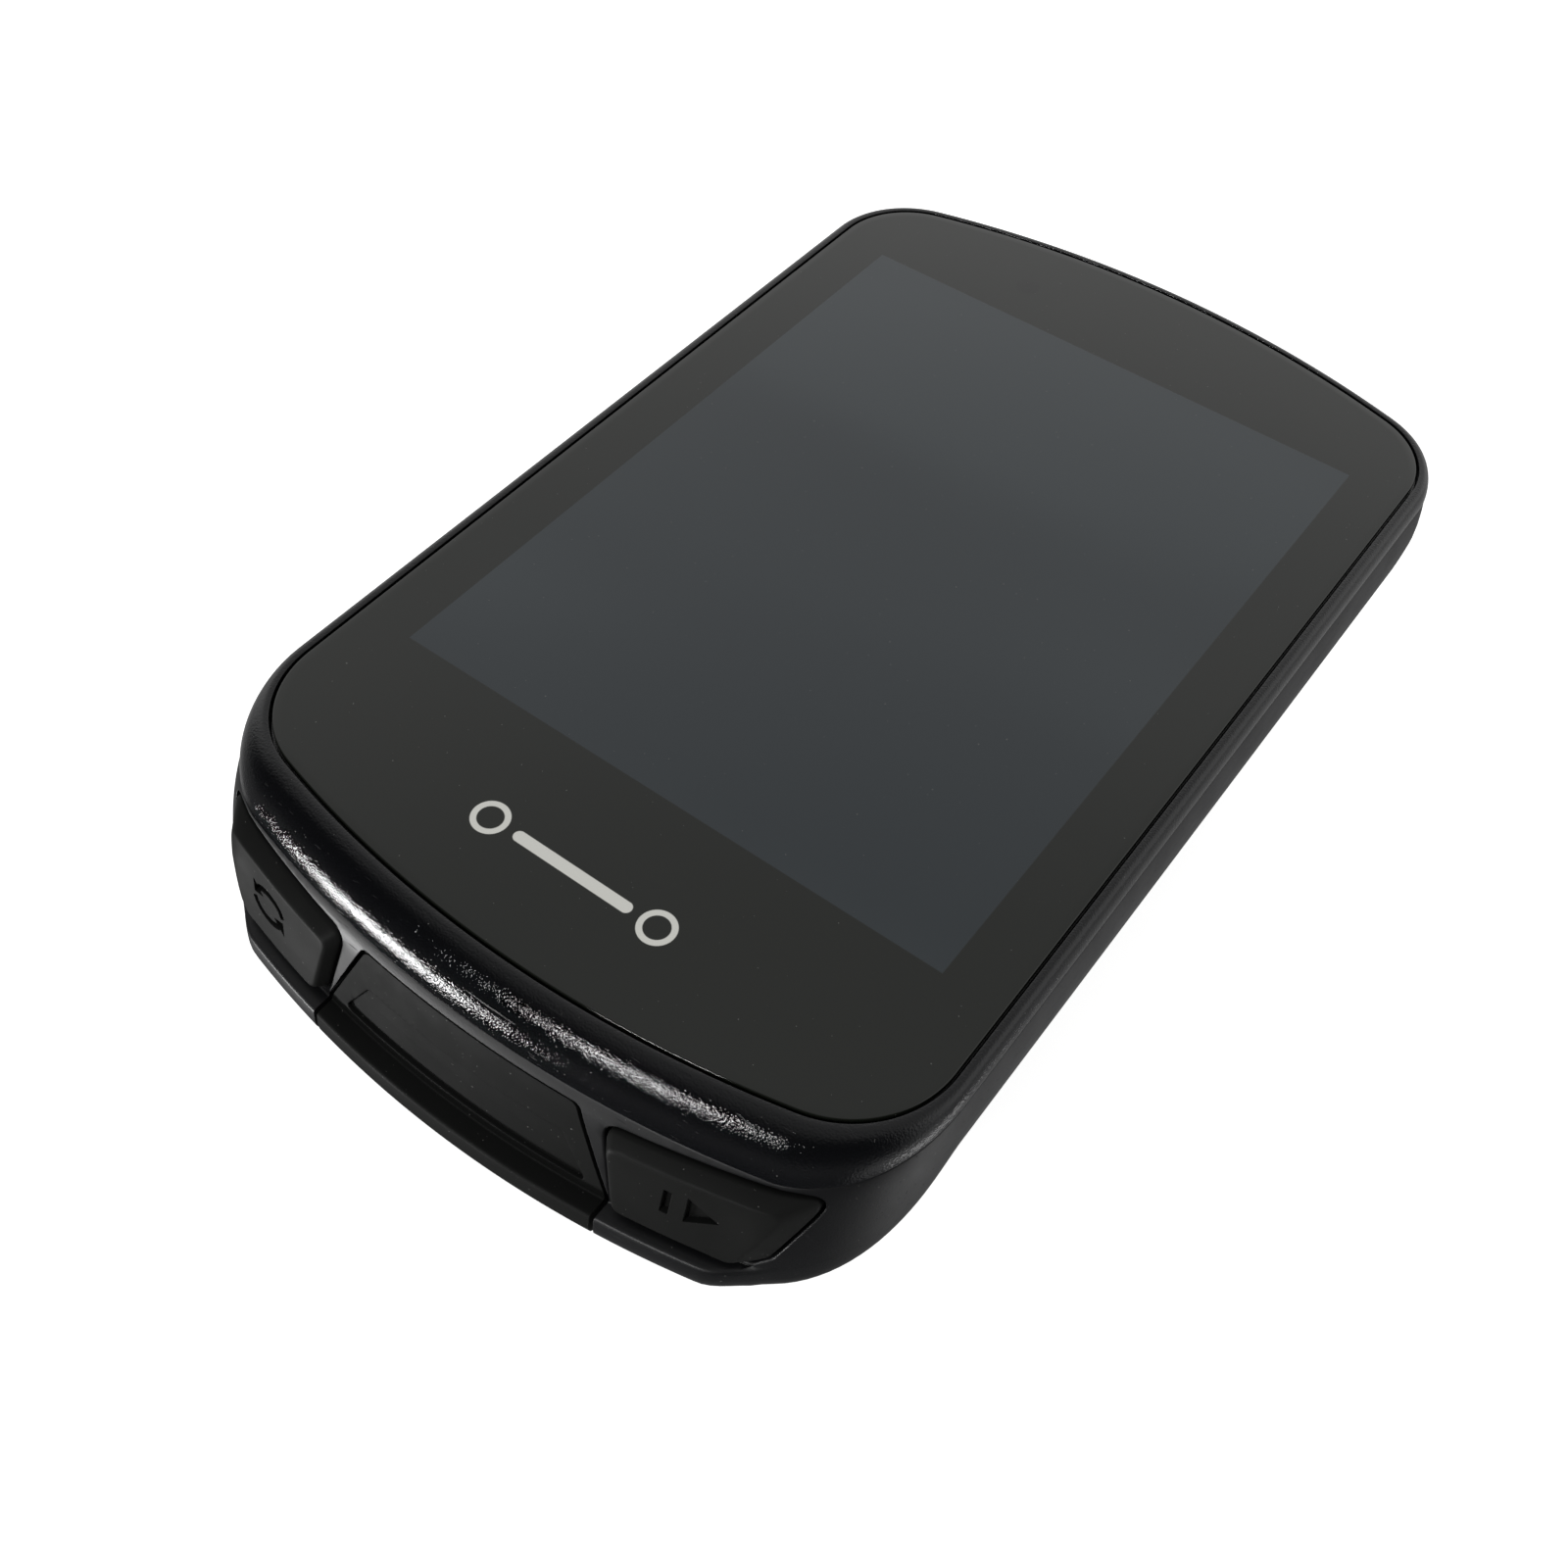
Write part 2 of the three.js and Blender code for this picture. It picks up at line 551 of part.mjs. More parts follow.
function backlight() {
  return slab(displayShape(0.5), DISPLAY.panelBottom + WALL_GAP, DISPLAY.lightBottom);
}

function displayFrame() {
  const tray = slab(displayShape(0.1), DISPLAY.panelBottom + 0.05, DISPLAY.frameBottom);
  const inside = slab(displayShape(DISPLAY.frameWall), 1, DISPLAY.lightBottom + 0.05);
  const windows = [-1, 1].map((side) => {
    return block(Math.min(side * 4, side * 16), Math.max(side * 4, side * 16), -10, 22, 2, 5);
  });
  return carve(tray, { cut: [inside, ...windows] });
}

function displayFlex() {
  const bendY = DISPLAY.y0 - 1.2;
  const outside = [[DISPLAY.y0 - 0.2, 1.1], [bendY, 1.3], [bendY - 0.8, 2.2], [bendY - 0.8, 5.0], [bendY, 6.0],
    [bendY + 5, 6.1]];
  const middle = new THREE.SplineCurve(outside.map(([y, depth]) => new THREE.Vector2(y, depth)));
  const points = middle.getPoints(FLEX.steps);
  const edge = (side) => points.map((p, i) => {
    const tangent = middle.getTangent(i / FLEX.steps);
    const half = side * FLEX.thick / 2;
    return new THREE.Vector2(p.x - half * tangent.y, p.y + half * tangent.x);
  });
  const loop = [...edge(1), ...edge(-1).reverse()];
  const shape = new THREE.Shape(loop);
  const strip = new THREE.ExtrudeGeometry(shape, { depth: 2 * FLEX.halfWidth, bevelEnabled: false });
  const place = new THREE.Matrix4().makeBasis(
    new THREE.Vector3(0, 1, 0), new THREE.Vector3(0, 0, -1), new THREE.Vector3(-1, 0, 0),
  ).setPosition(FLEX.halfWidth, 0, THICKNESS);
  return strip.applyMatrix4(place);
}

// ---------------------------------------------------------------- keys and flap
function endKey(mirror) {
  const radius = KEY.cornerRadius;
  const face = insetCorners(KEY_CORNERS, KEY_CHAMFERS);
  const middle = insetCorners(KEY_CORNERS, KEY_CHAMFERS.map((chamfer) => chamfer + 0.8));
  const flange = KEY_CORNERS.map(([x, depth]) => {
    const reach = Math.min(x + KEY.flange * Math.sign(x - SWITCH_X), KEY_FLANGE_LIMIT.x);
    return [reach, THREE.MathUtils.clamp(depth, KEY_FLANGE_LIMIT.top, KEY_FLANGE_LIMIT.bottom)];
  });
  const root = KEY_CORNERS.map(([x, depth]) => [x, Math.max(depth, KEY_FLANGE_LIMIT.top)]);
  return skin([
    bandRing(flange, radius, mirror, -KEY.root - KEY.flangeThick),
    bandRing(flange, radius, mirror, -KEY.root),
    bandRing(root, radius, mirror, -KEY.root),
    bandRing(KEY_CORNERS, radius, mirror, 0),
    bandRing(face, radius, mirror, KEY.proud),
    bandRing(middle, radius, mirror, KEY.proud),
  ]);
}

function powerKey() {
  const { y, length, depth, width, faceX, round, root, flangeThick } = POWER_KEY;
  const flangeX = faceX + root;
  const body = skin([[faceX, -round], [faceX + round, 0], [flangeX, 0]].map(([x, grow]) => (
    powerKeyOutline(grow).map((p) => new THREE.Vector3(x, p.x, up(p.y)))
  )));
  const end = length / 2 + 0.5;
  const top = depth - width / 2;
  const flange = block(flangeX - 0.02, flangeX + flangeThick, y - end, y + end, top, top + width);
  return carve(body, { add: [flange] });
}

function usbFlap() {
  const prism = frontPrism(flapOutline(-FLAP.gap, PAST.depth), PAST.riderY, FLAP.backY);
  const { topDepth, topHalf, lowDepth, lowHalf, cornerRadius, sunk } = FLAP_RECESS;
  const corners = [[-topHalf, topDepth], [topHalf, topDepth], [lowHalf, lowDepth], [-lowHalf, lowDepth]];
  const laid = (out) => roundCorners(corners, cornerRadius).map(({ x, y: depth }) => (
    new THREE.Vector3(x, bandY(x, depth) - out, up(depth))
  ));
  const dish = skin([laid(2), laid(-sunk)]);
  const { inset, wall, rootY, reachY } = FLAP_SEAL;
  const half = POCKET.halfWidth - inset;
  const top = POCKET.top + inset;
  const bottom = POCKET.bottom - inset;
  const seal = carve(block(-half, half, rootY, reachY, top, bottom), {
    cut: [block(-half + wall, half - wall, rootY - 1, reachY + 1, top + wall, bottom - wall)],
  });
  return carve(bowl(), { keep: [prism], add: [seal], cut: [dish] });
}

// ---------------------------------------------------------------- electronics
function mainBoard() {
  const { top, thick, halfWidth, neckHalfWidth, chamfer, far, rider, shoulder } = BOARD;
  const shape = new THREE.Shape();
  shape.moveTo(-neckHalfWidth, rider);
  shape.lineTo(neckHalfWidth, rider);
  shape.lineTo(neckHalfWidth, shoulder - chamfer);
  shape.lineTo(halfWidth, shoulder);
  shape.lineTo(halfWidth, far - chamfer);
  shape.lineTo(halfWidth - chamfer, far);
  shape.lineTo(chamfer - halfWidth, far);
  shape.lineTo(-halfWidth, far - chamfer);
  shape.lineTo(-halfWidth, shoulder);
  shape.lineTo(-neckHalfWidth, shoulder - chamfer);
  const holes = CASE_SCREW_PLACES.map(([x, y]) => column(x, y, POST.frontRadius + 0.3, top - 1, top + 3));
  const notch = POCKET_BLOCK.halfWidth + 0.2;
  const mouth = block(-notch, notch, rider - 1, POCKET.backY + 0.2, top - 1, top + 3);
  return carve(slab(shape, top, top + thick), { cut: [...holes, mouth] });
}

const BOARD_BOTTOM = BOARD.top + BOARD.thick;

function shieldCan() {
  const { halfWidth, y0, y1, cornerRadius, top, wall } = CAN;
  const can = slab(roundedRectangle(halfWidth, y0, y1, cornerRadius), top, BOARD.top - WALL_GAP);
  const hollow = roundedRectangle(halfWidth - wall, y0 + wall, y1 - wall, cornerRadius - wall);
  return carve(can, { cut: [slab(hollow, top + wall, BOARD.top + 1)] });
}

function gpsAntenna() {
  return slab(roundedRectangle(ANTENNA.halfWidth, ANTENNA.y0, ANTENNA.y1, 0.5), ANTENNA.top, ANTENNA.bottom);
}

function usbReceptacle() {
  const { halfWidth, height, length, wall, tongueHalf, tongueThick } = SOCKET;
  const top = BOARD_BOTTOM + WALL_GAP;
  const bottom = top + height;
  const mouthY = POCKET.backY + 0.1;
  const endY = mouthY + length;
  const shell = block(-halfWidth, halfWidth, mouthY, endY, top, bottom);
  const mouth = block(wall - halfWidth, halfWidth - wall, mouthY - 1, endY - 0.8, top + wall, bottom - wall);
  const tongueTop = top + 0.75;
  const tongue = block(-tongueHalf, tongueHalf, mouthY + 0.6, endY - 0.4, tongueTop, tongueTop + tongueThick);
  return carve(shell, { cut: [carve(mouth, { cut: [tongue] })] });
}

function sideSwitch(x) {
  const { halfWidth, thick, height, plungerHalf, plungerHeight, plungerReach } = SWITCH;
  const top = BOARD_BOTTOM + WALL_GAP;
  const frontY = BOARD.rider - 0.1;
  const body = block(x - halfWidth, x + halfWidth, frontY, frontY + thick, top, top + height);
  const reach = [frontY - plungerReach, frontY + 0.1];
  const plungerTop = top + 0.35;
  const plunger = block(x - plungerHalf, x + plungerHalf, ...reach, plungerTop, plungerTop + plungerHeight);
  return carve(body, { add: [plunger] });
}

function powerSwitch() {
  const { halfWidth, thick, plungerHalf, plungerHeight, plungerReach } = SWITCH;
  const { y } = POWER_KEY;
  const top = BOARD.top - 2 - WALL_GAP;
  const sideX = 0.1 - BOARD.halfWidth;
  const body = block(sideX, sideX + thick, y - halfWidth, y + halfWidth, top, top + 2);
  const reach = [sideX - plungerReach, sideX + 0.1];
  const plungerTop = top + 0.5;
  const plunger = block(...reach, y - plungerHalf, y + plungerHalf, plungerTop, plungerTop + plungerHeight);
  return carve(body, { add: [plunger] });
}

function pressureSensor() {
  const { x, y, half, height, holeRadius } = SENSOR;
  const body = block(x - half, x + half, y - half, y + half, BOARD_BOTTOM + WALL_GAP, BOARD_BOTTOM + height);
  return carve(body, { cut: [column(x, y, holeRadius, BOARD_BOTTOM + height / 2, BOARD_BOTTOM + 2, 12)] });
}

function beeper() {
  const { x, y, radius, chamfer, top } = BEEPER;
  const bottom = BOARD.top - WALL_GAP;
  const profile = [[0, top], [radius - chamfer, top], [radius, top + chamfer], [radius, bottom], [0, bottom]];
  const points = profile.map(([reach, depth]) => new THREE.Vector2(reach, up(depth)));
  return facesOut(new THREE.LatheGeometry(points, 24).rotateX(Math.PI / 2).translate(x, y, 0));
}

function battery() {
  const { halfWidth, rider, far, top, bottom } = BATTERY;
  return slab(roundedRectangle(halfWidth, rider, far, 2), top, bottom);
}

function lightSensor() {
  const { x, y, half, cornerRadius, bottom } = LIGHT_SENSOR;
  return slab(roundedRectangle(half, -half, half, cornerRadius), GLASS_THICK + WALL_GAP, bottom).translate(x, y, 0);
}

// ---------------------------------------------------------------- mount and fasteners
function mountInsert() {
  const { coreRadius, tabRadius, tabThick, tabAngle, plateRadius, plateThick } = MOUNT;
  const seat = BACK_DEPTH + 0.05;
  const plate = column(0, 0, plateRadius, seat, BACK_DEPTH + plateThick, 48);
  const core = column(0, 0, coreRadius, seat, THICKNESS, 48);
  const half = THREE.MathUtils.degToRad(tabAngle / 2);
  const tabs = [0, Math.PI].map((middle) => {
    const sector = new THREE.Shape();
    sector.moveTo(0, 0);
    sector.lineTo(tabRadius * Math.cos(middle - half), tabRadius * Math.sin(middle - half));
    sector.absarc(0, 0, tabRadius, middle - half, middle + half);
    return slab(sector, THICKNESS - tabThick, THICKNESS, 6);
  });
  const headSeats = mountScrewPlaces.map(([x, y]) => {
    return column(x, y, MOUNT_SCREW.headRadius + 0.1, THICKNESS - MOUNT_SCREW.headThick - 0.2, THICKNESS + 1);
  });
  const holes = mountScrewPlaces.map(([x, y]) => {
    return column(x, y, MOUNT_SCREW.shankRadius + 0.1, BACK_DEPTH - 1, THICKNESS + 1, 16);
  });
  return carve(plate, { add: [core, ...tabs], cut: [...headSeats, ...holes] });
}

// A screw whose head faces the back, with a six-sided drive let into the head.
function screw([x, y], { headRadius, headThick, shankRadius }, headTop, tip) {
  const profile = [
    [0, tip], [shankRadius * 0.6, tip], [shankRadius, tip + 0.4], [shankRadius, headTop],
    [headRadius, headTop], [headRadius, headTop + headThick - 0.2], [headRadius - 0.2, headTop + headThick],
    [0, headTop + headThick],
  ];
  const points = profile.map(([radius, depth]) => new THREE.Vector2(radius, -depth));
  const turned = facesOut(new THREE.LatheGeometry(points, 12).rotateX(Math.PI / 2).translate(x, y, THICKNESS));
  const drive = column(x, y, headRadius * 0.5, headTop + headThick - 0.5, headTop + headThick + 1, 6);
  return carve(turned, { cut: [drive] });
}

// ---------------------------------------------------------------- the assembly
const computer = new THREE.Group();
computer.name = 'cycling_computer';

function finish(color, roughness, metalness = 0) {
  return { color, roughness, metalness };
}

const FINISHES = {
  gloss: finish(0x0b0c0e, 0.15),
  rubber: finish(0x141516, 0.6),
  glass: finish(0x20221f, 0.08),
  display: finish(0x3c444c, 0.3),
  plastic: finish(0x1c1d1f, 0.5),
  white: finish(0xe8e8e4, 0.4),
  tape: finish(0x101010, 0.8),
  board: finish(0x14532d, 0.6),
  metal: finish(0xb8babd, 0.35, 1),
  steel: finish(0x6a6c70, 0.3, 1),
  cell: finish(0x9aa0a6, 0.45, 0.6),
  flex: finish(0xb4661c, 0.5),
  ceramic: finish(0xcfc8b8, 0.6),
};

function place(name, geometry, kind) {
  const mesh = new THREE.Mesh(geometry, new THREE.MeshStandardMaterial(FINISHES[kind]));
  mesh.name = name;
  computer.add(mesh);
}

place('cover_glass', coverGlass(), 'glass');
place('glass_adhesive', glassAdhesive(), 'tape');
place('light_sensor', lightSensor(), 'plastic');
place('display_panel', displayPanel(), 'display');
place('backlight', backlight(), 'white');
place('display_frame', displayFrame(), 'plastic');
place('display_flex', displayFlex(), 'flex');
place('front_housing', frontHousing(), 'gloss');
place('case_seal', caseSeal(), 'rubber');
place('rear_cover', rearCover(), 'gloss');
place('lap_button', endKey(-1), 'rubber');
place('start_stop_button', endKey(1), 'rubber');
place('power_button', powerKey(), 'rubber');
place('usb_flap', usbFlap(), 'rubber');
place('main_board', mainBoard(), 'board');
place('shield_can', shieldCan(), 'metal');
place('gps_antenna', gpsAntenna(), 'ceramic');
place('usb_receptacle', usbReceptacle(), 'metal');
place('lap_switch', sideSwitch(-SWITCH_X), 'plastic');
place('start_stop_switch', sideSwitch(SWITCH_X), 'plastic');
place('power_switch', powerSwitch(), 'plastic');
place('pressure_sensor', pressureSensor(), 'metal');
place('beeper', beeper(), 'plastic');
place('battery', battery(), 'cell');
place('mount_insert', mountInsert(), 'plastic');
mountScrewPlaces.forEach((spot, i) => {
  const headTop = THICKNESS - MOUNT_SCREW.headThick - 0.15;
  place(`mount_screw_${i + 1}`, screw(spot, MOUNT_SCREW, headTop, headTop - MOUNT_SCREW.reach), 'steel');
});
CASE_SCREW_PLACES.forEach((spot, i) => {
  const headTop = CASE_SCREW.seatDepth + 0.05;
  place(`case_screw_${i + 1}`, screw(spot, CASE_SCREW, headTop, CASE_SCREW.tipDepth), 'steel');
});

export default computer;
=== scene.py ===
"""The looks of the cycling computer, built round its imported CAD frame, in millimetres."""

import math

import bmesh
import bpy
import numpy as np
from mathutils import Matrix, Vector


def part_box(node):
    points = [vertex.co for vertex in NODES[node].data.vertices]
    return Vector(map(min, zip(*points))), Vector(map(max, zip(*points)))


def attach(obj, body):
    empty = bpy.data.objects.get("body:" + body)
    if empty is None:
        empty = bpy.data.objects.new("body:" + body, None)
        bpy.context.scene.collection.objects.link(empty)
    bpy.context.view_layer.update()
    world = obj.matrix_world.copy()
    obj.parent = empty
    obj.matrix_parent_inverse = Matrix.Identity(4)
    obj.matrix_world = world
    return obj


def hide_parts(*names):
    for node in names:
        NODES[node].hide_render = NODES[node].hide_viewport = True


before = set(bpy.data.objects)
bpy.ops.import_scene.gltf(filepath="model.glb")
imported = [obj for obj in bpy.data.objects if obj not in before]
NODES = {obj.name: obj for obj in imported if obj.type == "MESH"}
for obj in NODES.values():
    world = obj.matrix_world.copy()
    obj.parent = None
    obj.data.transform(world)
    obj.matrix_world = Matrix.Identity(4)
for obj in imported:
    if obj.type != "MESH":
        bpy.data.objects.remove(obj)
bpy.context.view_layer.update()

MM = 0.001


def limits(node):
    """The lowest and highest corner of a CAD node, in millimetres."""
    low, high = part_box(node)
    return np.array(low) / MM, np.array(high) / MM


# ---------------------------------------------------------------- places taken from the frame
GLASS_LOW, GLASS_HIGH = limits("cover_glass")
PANEL_LOW, PANEL_HIGH = limits("display_panel")
POWER_LOW, POWER_HIGH = limits("power_button")
SENSOR_LOW, SENSOR_HIGH = limits("light_sensor")
MOUNT_RADIUS = limits("mount_insert")[1][0]
TOP = GLASS_HIGH[2]

# ---------------------------------------------------------------- the body's form
# The same few dimensions as the CAD part: outlines are the glass edge and the flat of the back.
# An end is given by its Y, the radius of its bow and the radius of its corners.
GLASS = {"half_width": GLASS_HIGH[0], "far": (GLASS_HIGH[1], 68.4, 6.07), "rider": (GLASS_LOW[1], 76.1, 7.0)}
BACK = {"half_width": 14.0, "far": (30, 60, 8), "rider": (-26, 60, 8)}
CAVITY_FLOOR = {"half_width": 13.3, "far": (28.8, 60, 7), "rider": (-24.8, 60, 7)}
GLASS_THICK = 0.7
SEAT_DEPTH = 0.85
CAVITY_DEPTH = 14.6
BACK_DEPTH = 16.0
STEPS = {"rider_end": 40, "rider_corner": 26, "side": 40, "far_corner": 22, "far_end": 30}

# Distance out from the glass edge and depth below the glass, at the side, the rider's end and the far end.
FRONT_SKIN = [
    {"side": (0.20, 0.02), "rider": (0.20, 0.02), "far": (0.20, 0.02)},
    {"side": (0.56, 0.00), "rider": (0.50, 0.00), "far": (0.52, 0.00)},
    {"side": (0.80, 0.14), "rider": (1.15, 0.18), "far": (0.78, 0.14)},
    {"side": (0.96, 0.40), "rider": (1.80, 0.62), "far": (0.90, 0.40)},
    {"side": (1.07, 0.70), "rider": (2.40, 1.35), "far": (0.96, 0.70)},
    {"side": (1.13, 1.00), "rider": (2.80, 2.20), "far": (1.00, 1.00)},
    {"side": (1.16, 1.30), "rider": (3.00, 3.15), "far": (1.00, 1.30)},
]
FRONT_INSIDE = [
    {"side": (-1.15, 1.30), "rider": (0.90, 3.15), "far": (-1.40, 1.30)},
    {"side": (-1.15, 2.40), "rider": (0.90, 3.90), "far": (-1.40, 2.40)},
    {"side": (-2.40, 2.40), "rider": (-2.40, 3.90), "far": (-2.40, 2.40)},
    {"side": (-2.40, SEAT_DEPTH), "rider": (-2.40, SEAT_DEPTH), "far": (-2.40, SEAT_DEPTH)},
    {"side": (0.20, SEAT_DEPTH), "rider": (0.20, SEAT_DEPTH), "far": (0.20, SEAT_DEPTH)},
]
# Along the key band a station of the rear cover stands back by its recess and lies deeper by its sink.
REAR_SKIN = [
    {"side": (1.13, 1.45), "rider": (2.92, 3.30), "far": (0.97, 1.45)},
    {"side": (1.26, 2.20), "rider": (3.45, 4.10), "far": (1.00, 2.20)},
    {"side": (1.33, 2.80), "rider": (4.12, 6.00), "far": (1.03, 2.80), "recess": 0.21},
    {"side": (1.39, 3.40), "rider": (4.58, 8.00), "far": (1.05, 3.40), "recess": 0.18},
    {"side": (1.40, 4.00), "rider": (4.90, 9.85), "far": (1.05, 4.00), "recess": 0.04, "sink": 0.35},
    {"side": (1.40, 4.10), "rider": (4.96, 10.20), "far": (1.05, 4.10), "recess": -1.18},
    {"side": (1.41, 4.50), "rider": (5.16, 12.00), "far": (1.05, 4.50), "recess": -1.18},
]
REAR_INSIDE = [
    {"side": (-0.55, 1.45), "rider": (1.60, 3.30), "far": (-0.80, 1.45)},
    {"side": (-0.30, 3.00), "rider": (2.40, 5.50), "far": (-1.00, 3.00)},
    {"side": (-0.19, 4.50), "rider": (3.30, 9.00), "far": (-1.00, 4.50)},
]
# From the widest ring to the flat of the back: share of the way in and of the way down.
HULL_STEPS = [
    {"side": (0.030, 0.259), "rider": (0.045, 0.13), "far": (0.05, 0.22)},
    {"side": (0.118, 0.500), "rider": (0.135, 0.27), "far": (0.16, 0.44)},
    {"side": (0.280, 0.707), "rider": (0.28, 0.43), "far": (0.33, 0.64)},
    {"side": (0.500, 0.866), "rider": (0.46, 0.62), "far": (0.55, 0.81)},
    {"side": (0.741, 0.966), "rider": (0.72, 0.83), "far": (0.78, 0.93)},
    {"side": (1, 1), "rider": (1, 1), "far": (1, 1)},
]
CAVITY_STEPS = [
    {"side": (0.034, 0.259), "rider": (0.05, 0.22), "far": (0.05, 0.22)},
    {"side": (0.134, 0.500), "rider": (0.14, 0.42), "far": (0.16, 0.44)},
    {"side": (0.293, 0.707), "rider": (0.28, 0.58), "far": (0.33, 0.64)},
    {"side": (0.500, 0.866), "rider": (0.47, 0.74), "far": (0.55, 0.81)},
    {"side": (0.741, 0.966), "rider": (0.72, 0.88), "far": (0.78, 0.93)},
    {"side": (1, 1), "rider": (1, 1), "far": (1, 1)},
]
BAND_FADE = (16.9, 20.6)           # the distances aside over which the key band runs out
CORNER_POWER = 1.8                 # how late a corner turns from its side's section to its end's
LEDGE = 4                          # the station at the foot of the key band
FREE = math.inf                    # a turn that is rounded as far as its neighbours allow
BACK_REACH = 0.5                   # where the hull meets the flat of the back
PAST = 1                           # how far a cutter reaches past what it cuts
PAST_BACK = 18                     # a depth that is out beyond the back
PAST_END = -46                     # a Y that is out beyond the rider's end

# ---------------------------------------------------------------- keys, flap, screws and mount
# Corners are X and depth below the glass, in the view from the rider.
KEY = {"proud": 0.8, "root": 2.7, "flange": 0.35, "flange_thick": 0.4, "gap": 0.18, "corner_radius": 0.8}
KEY_FLANGE_LIMIT = {"x": 20.7, "top": 4.1, "bottom": 8.5}
KEY_OPENING = {"edge": 0.16, "front": 2.0, "back": -4.5}
KEY_CORNERS = [(9.75, 4.2), (21.9, 3.5), (20.1, 8.4), (19.1, 9.5), (10.95, 9.7)]
KEY_CHAMFERS = [0.55, 1.1, 0.8, 0.3, 0.5]
SWITCH_X = 15.2
ENGRAVING = {"front": 0.6, "bottom": -0.45}
LOOP_SIGN = {"x": 15.9, "depth": 6.55, "half_width": 1.5, "half_height": 0.95, "stroke": 0.42}
POWER_OPENING = {"gap": 0.15, "outer_x": -26, "inner_x": -20}

FLAP = {"top_depth": 3.9, "top_half": 7.9, "kink_depth": 9.8, "kink_half": 10.6, "corner_radius": 0.7,
        "gap": 0.14, "top_grow": 0.3, "back_y": -36.5}
FLAP_RECESS = [(-7.3, 6.5), (7.3, 6.5), (9.25, 9.55), (-9.25, 9.55)]
FLAP_RECESS_SUNK = 0.3
FLAP_RECESS_CORNER = 0.4
POCKET = {"half_width": 6.9, "top": 4.9, "bottom": 11.4, "front_y": -36.3, "back_y": -32.3, "cut_from_y": -38}
POCKET_BLOCK = {"half_width": 8.6, "top": 4.1, "bottom": 12.4}
FLAP_SEAL = {"inset": 0.2, "wall": 0.7, "front_y": -37.6, "reach_y": -35.6, "hollow_y": (-39, -35)}
CASE_SCREW = {"seat_radius": 1.7, "hole_radius": 0.95, "seat_depth": 10.6}
CASE_SCREW_PLACES = [(14.3, 34.5), (-14.3, 34.5), (16.2, -27.8), (-16.2, -27.8)]
MOUNT = {"core_radius": 12.2, "rim_width": 2, "top_depth": 16.05, "plate_bottom": 16.8,
         "tab_thick": 2.0, "tab_half_degrees": 22}
MOUNT_SCREW = {"ring": 8.6, "hole_radius": 0.9, "seat_radius": 1.6, "sunk": 1.2,
               "rim_radius": 1.9, "rim_slope": 0.15}
SCREW = {"tip_radius": 0.48, "tip_length": 0.4, "shank_radius": 0.8, "head_thick": 1.05, "drive_depth": 0.6}
POST = {"radius": 2.9, "top_depth": 7.6}
VENT = {"x": -13.5, "y": 26, "radius": 0.6, "reach": 4}

# ---------------------------------------------------------------- what is printed on the glass
WINDOW = {"half_width": 19.75, "half_length": 25.85, "shift_y": -0.05}
SENSOR_DOT = (0.75, 0.95)
MARK = {"x": -0.35, "y": -28.3, "ring_x": 6.1, "ring_radius": 1.0, "bar_half": 3.9}


# ---------------------------------------------------------------- outlines and skins
def corner_centre(end, half_width, sign):
    """The centre of a corner's arc between an end's bow and a side, and the direction where it starts."""
    apex, end_radius, corner_radius = end
    x = half_width - corner_radius
    drop = math.sqrt((end_radius - corner_radius) ** 2 - x**2)
    return x, apex - sign * end_radius + sign * drop, math.atan2(drop, x)


def outline(shape):
    """Points and outward directions round a closed outline, with the same count for every shape."""
    half_width, far, rider = shape["half_width"], shape["far"], shape["rider"]
    low_x, low_y, low_turn = corner_centre(rider, half_width, -1)
    high_x, high_y, high_turn = corner_centre(far, half_width, 1)
    arcs = [
        (0, rider[0] + rider[1], rider[1], -math.pi / 2, -low_turn, STEPS["rider_end"]),
        (low_x, low_y, rider[2], -low_turn, 0, STEPS["rider_corner"]),
        (high_x, high_y, far[2], 0, high_turn, STEPS["far_corner"]),
        (0, far[0] - far[1], far[1], high_turn, math.pi / 2, STEPS["far_end"]),
    ]
    points, directions = [], []
    for k, (x, y, radius, start, end, steps) in enumerate(arcs):
        angles = np.linspace(start, end, steps + 1)
        turned = np.column_stack([np.cos(angles), np.sin(angles)])
        points.append((np.array([x, y]) + radius * turned)[1 if k in (1, 3) else 0 :])
        directions.append(turned[1 if k in (1, 3) else 0 :])
        if k == 1:
            y_steps = np.linspace(low_y, high_y, STEPS["side"] + 1)[1:-1]
            points.append(np.column_stack([np.full_like(y_steps, half_width), y_steps]))
            directions.append(np.tile([1.0, 0.0], (len(y_steps), 1)))
    right, facing = np.vstack(points), np.vstack(directions)
    mirror = np.array([-1, 1])
    return np.vstack([right, right[-2:0:-1] * mirror]), np.vstack([facing, facing[-2:0:-1] * mirror])


EDGE, FACING = outline(GLASS)


def shares(station, facing_y):
    """A station's two values for outline points, blended between its side and the end they face."""
    weight = np.abs(facing_y)[:, None] ** CORNER_POWER
    ends = np.where(facing_y[:, None] < 0, station["rider"], station["far"])
    return (np.array(station["side"]) + (ends - np.array(station["side"])) * weight).T


def band_fade(x, facing_y):
    """One on the key band, and down to nothing beyond its ends and round the rest of the body."""
    share = np.clip((np.abs(x) - BAND_FADE[0]) / (BAND_FADE[1] - BAND_FADE[0]), 0, 1)
    return np.where(facing_y < 0, 1 - share * share * (3 - 2 * share), 0)


def station_at(station, points, facing):
    """A station's distance out and depth for outline points, with the key band let in."""
    out, depth = shares(station, facing[:, 1])
    fade = band_fade(points[:, 0] + facing[:, 0] * out, facing[:, 1])
    return out - station.get("recess", 0) * fade, depth + station.get("sink", 0) * fade


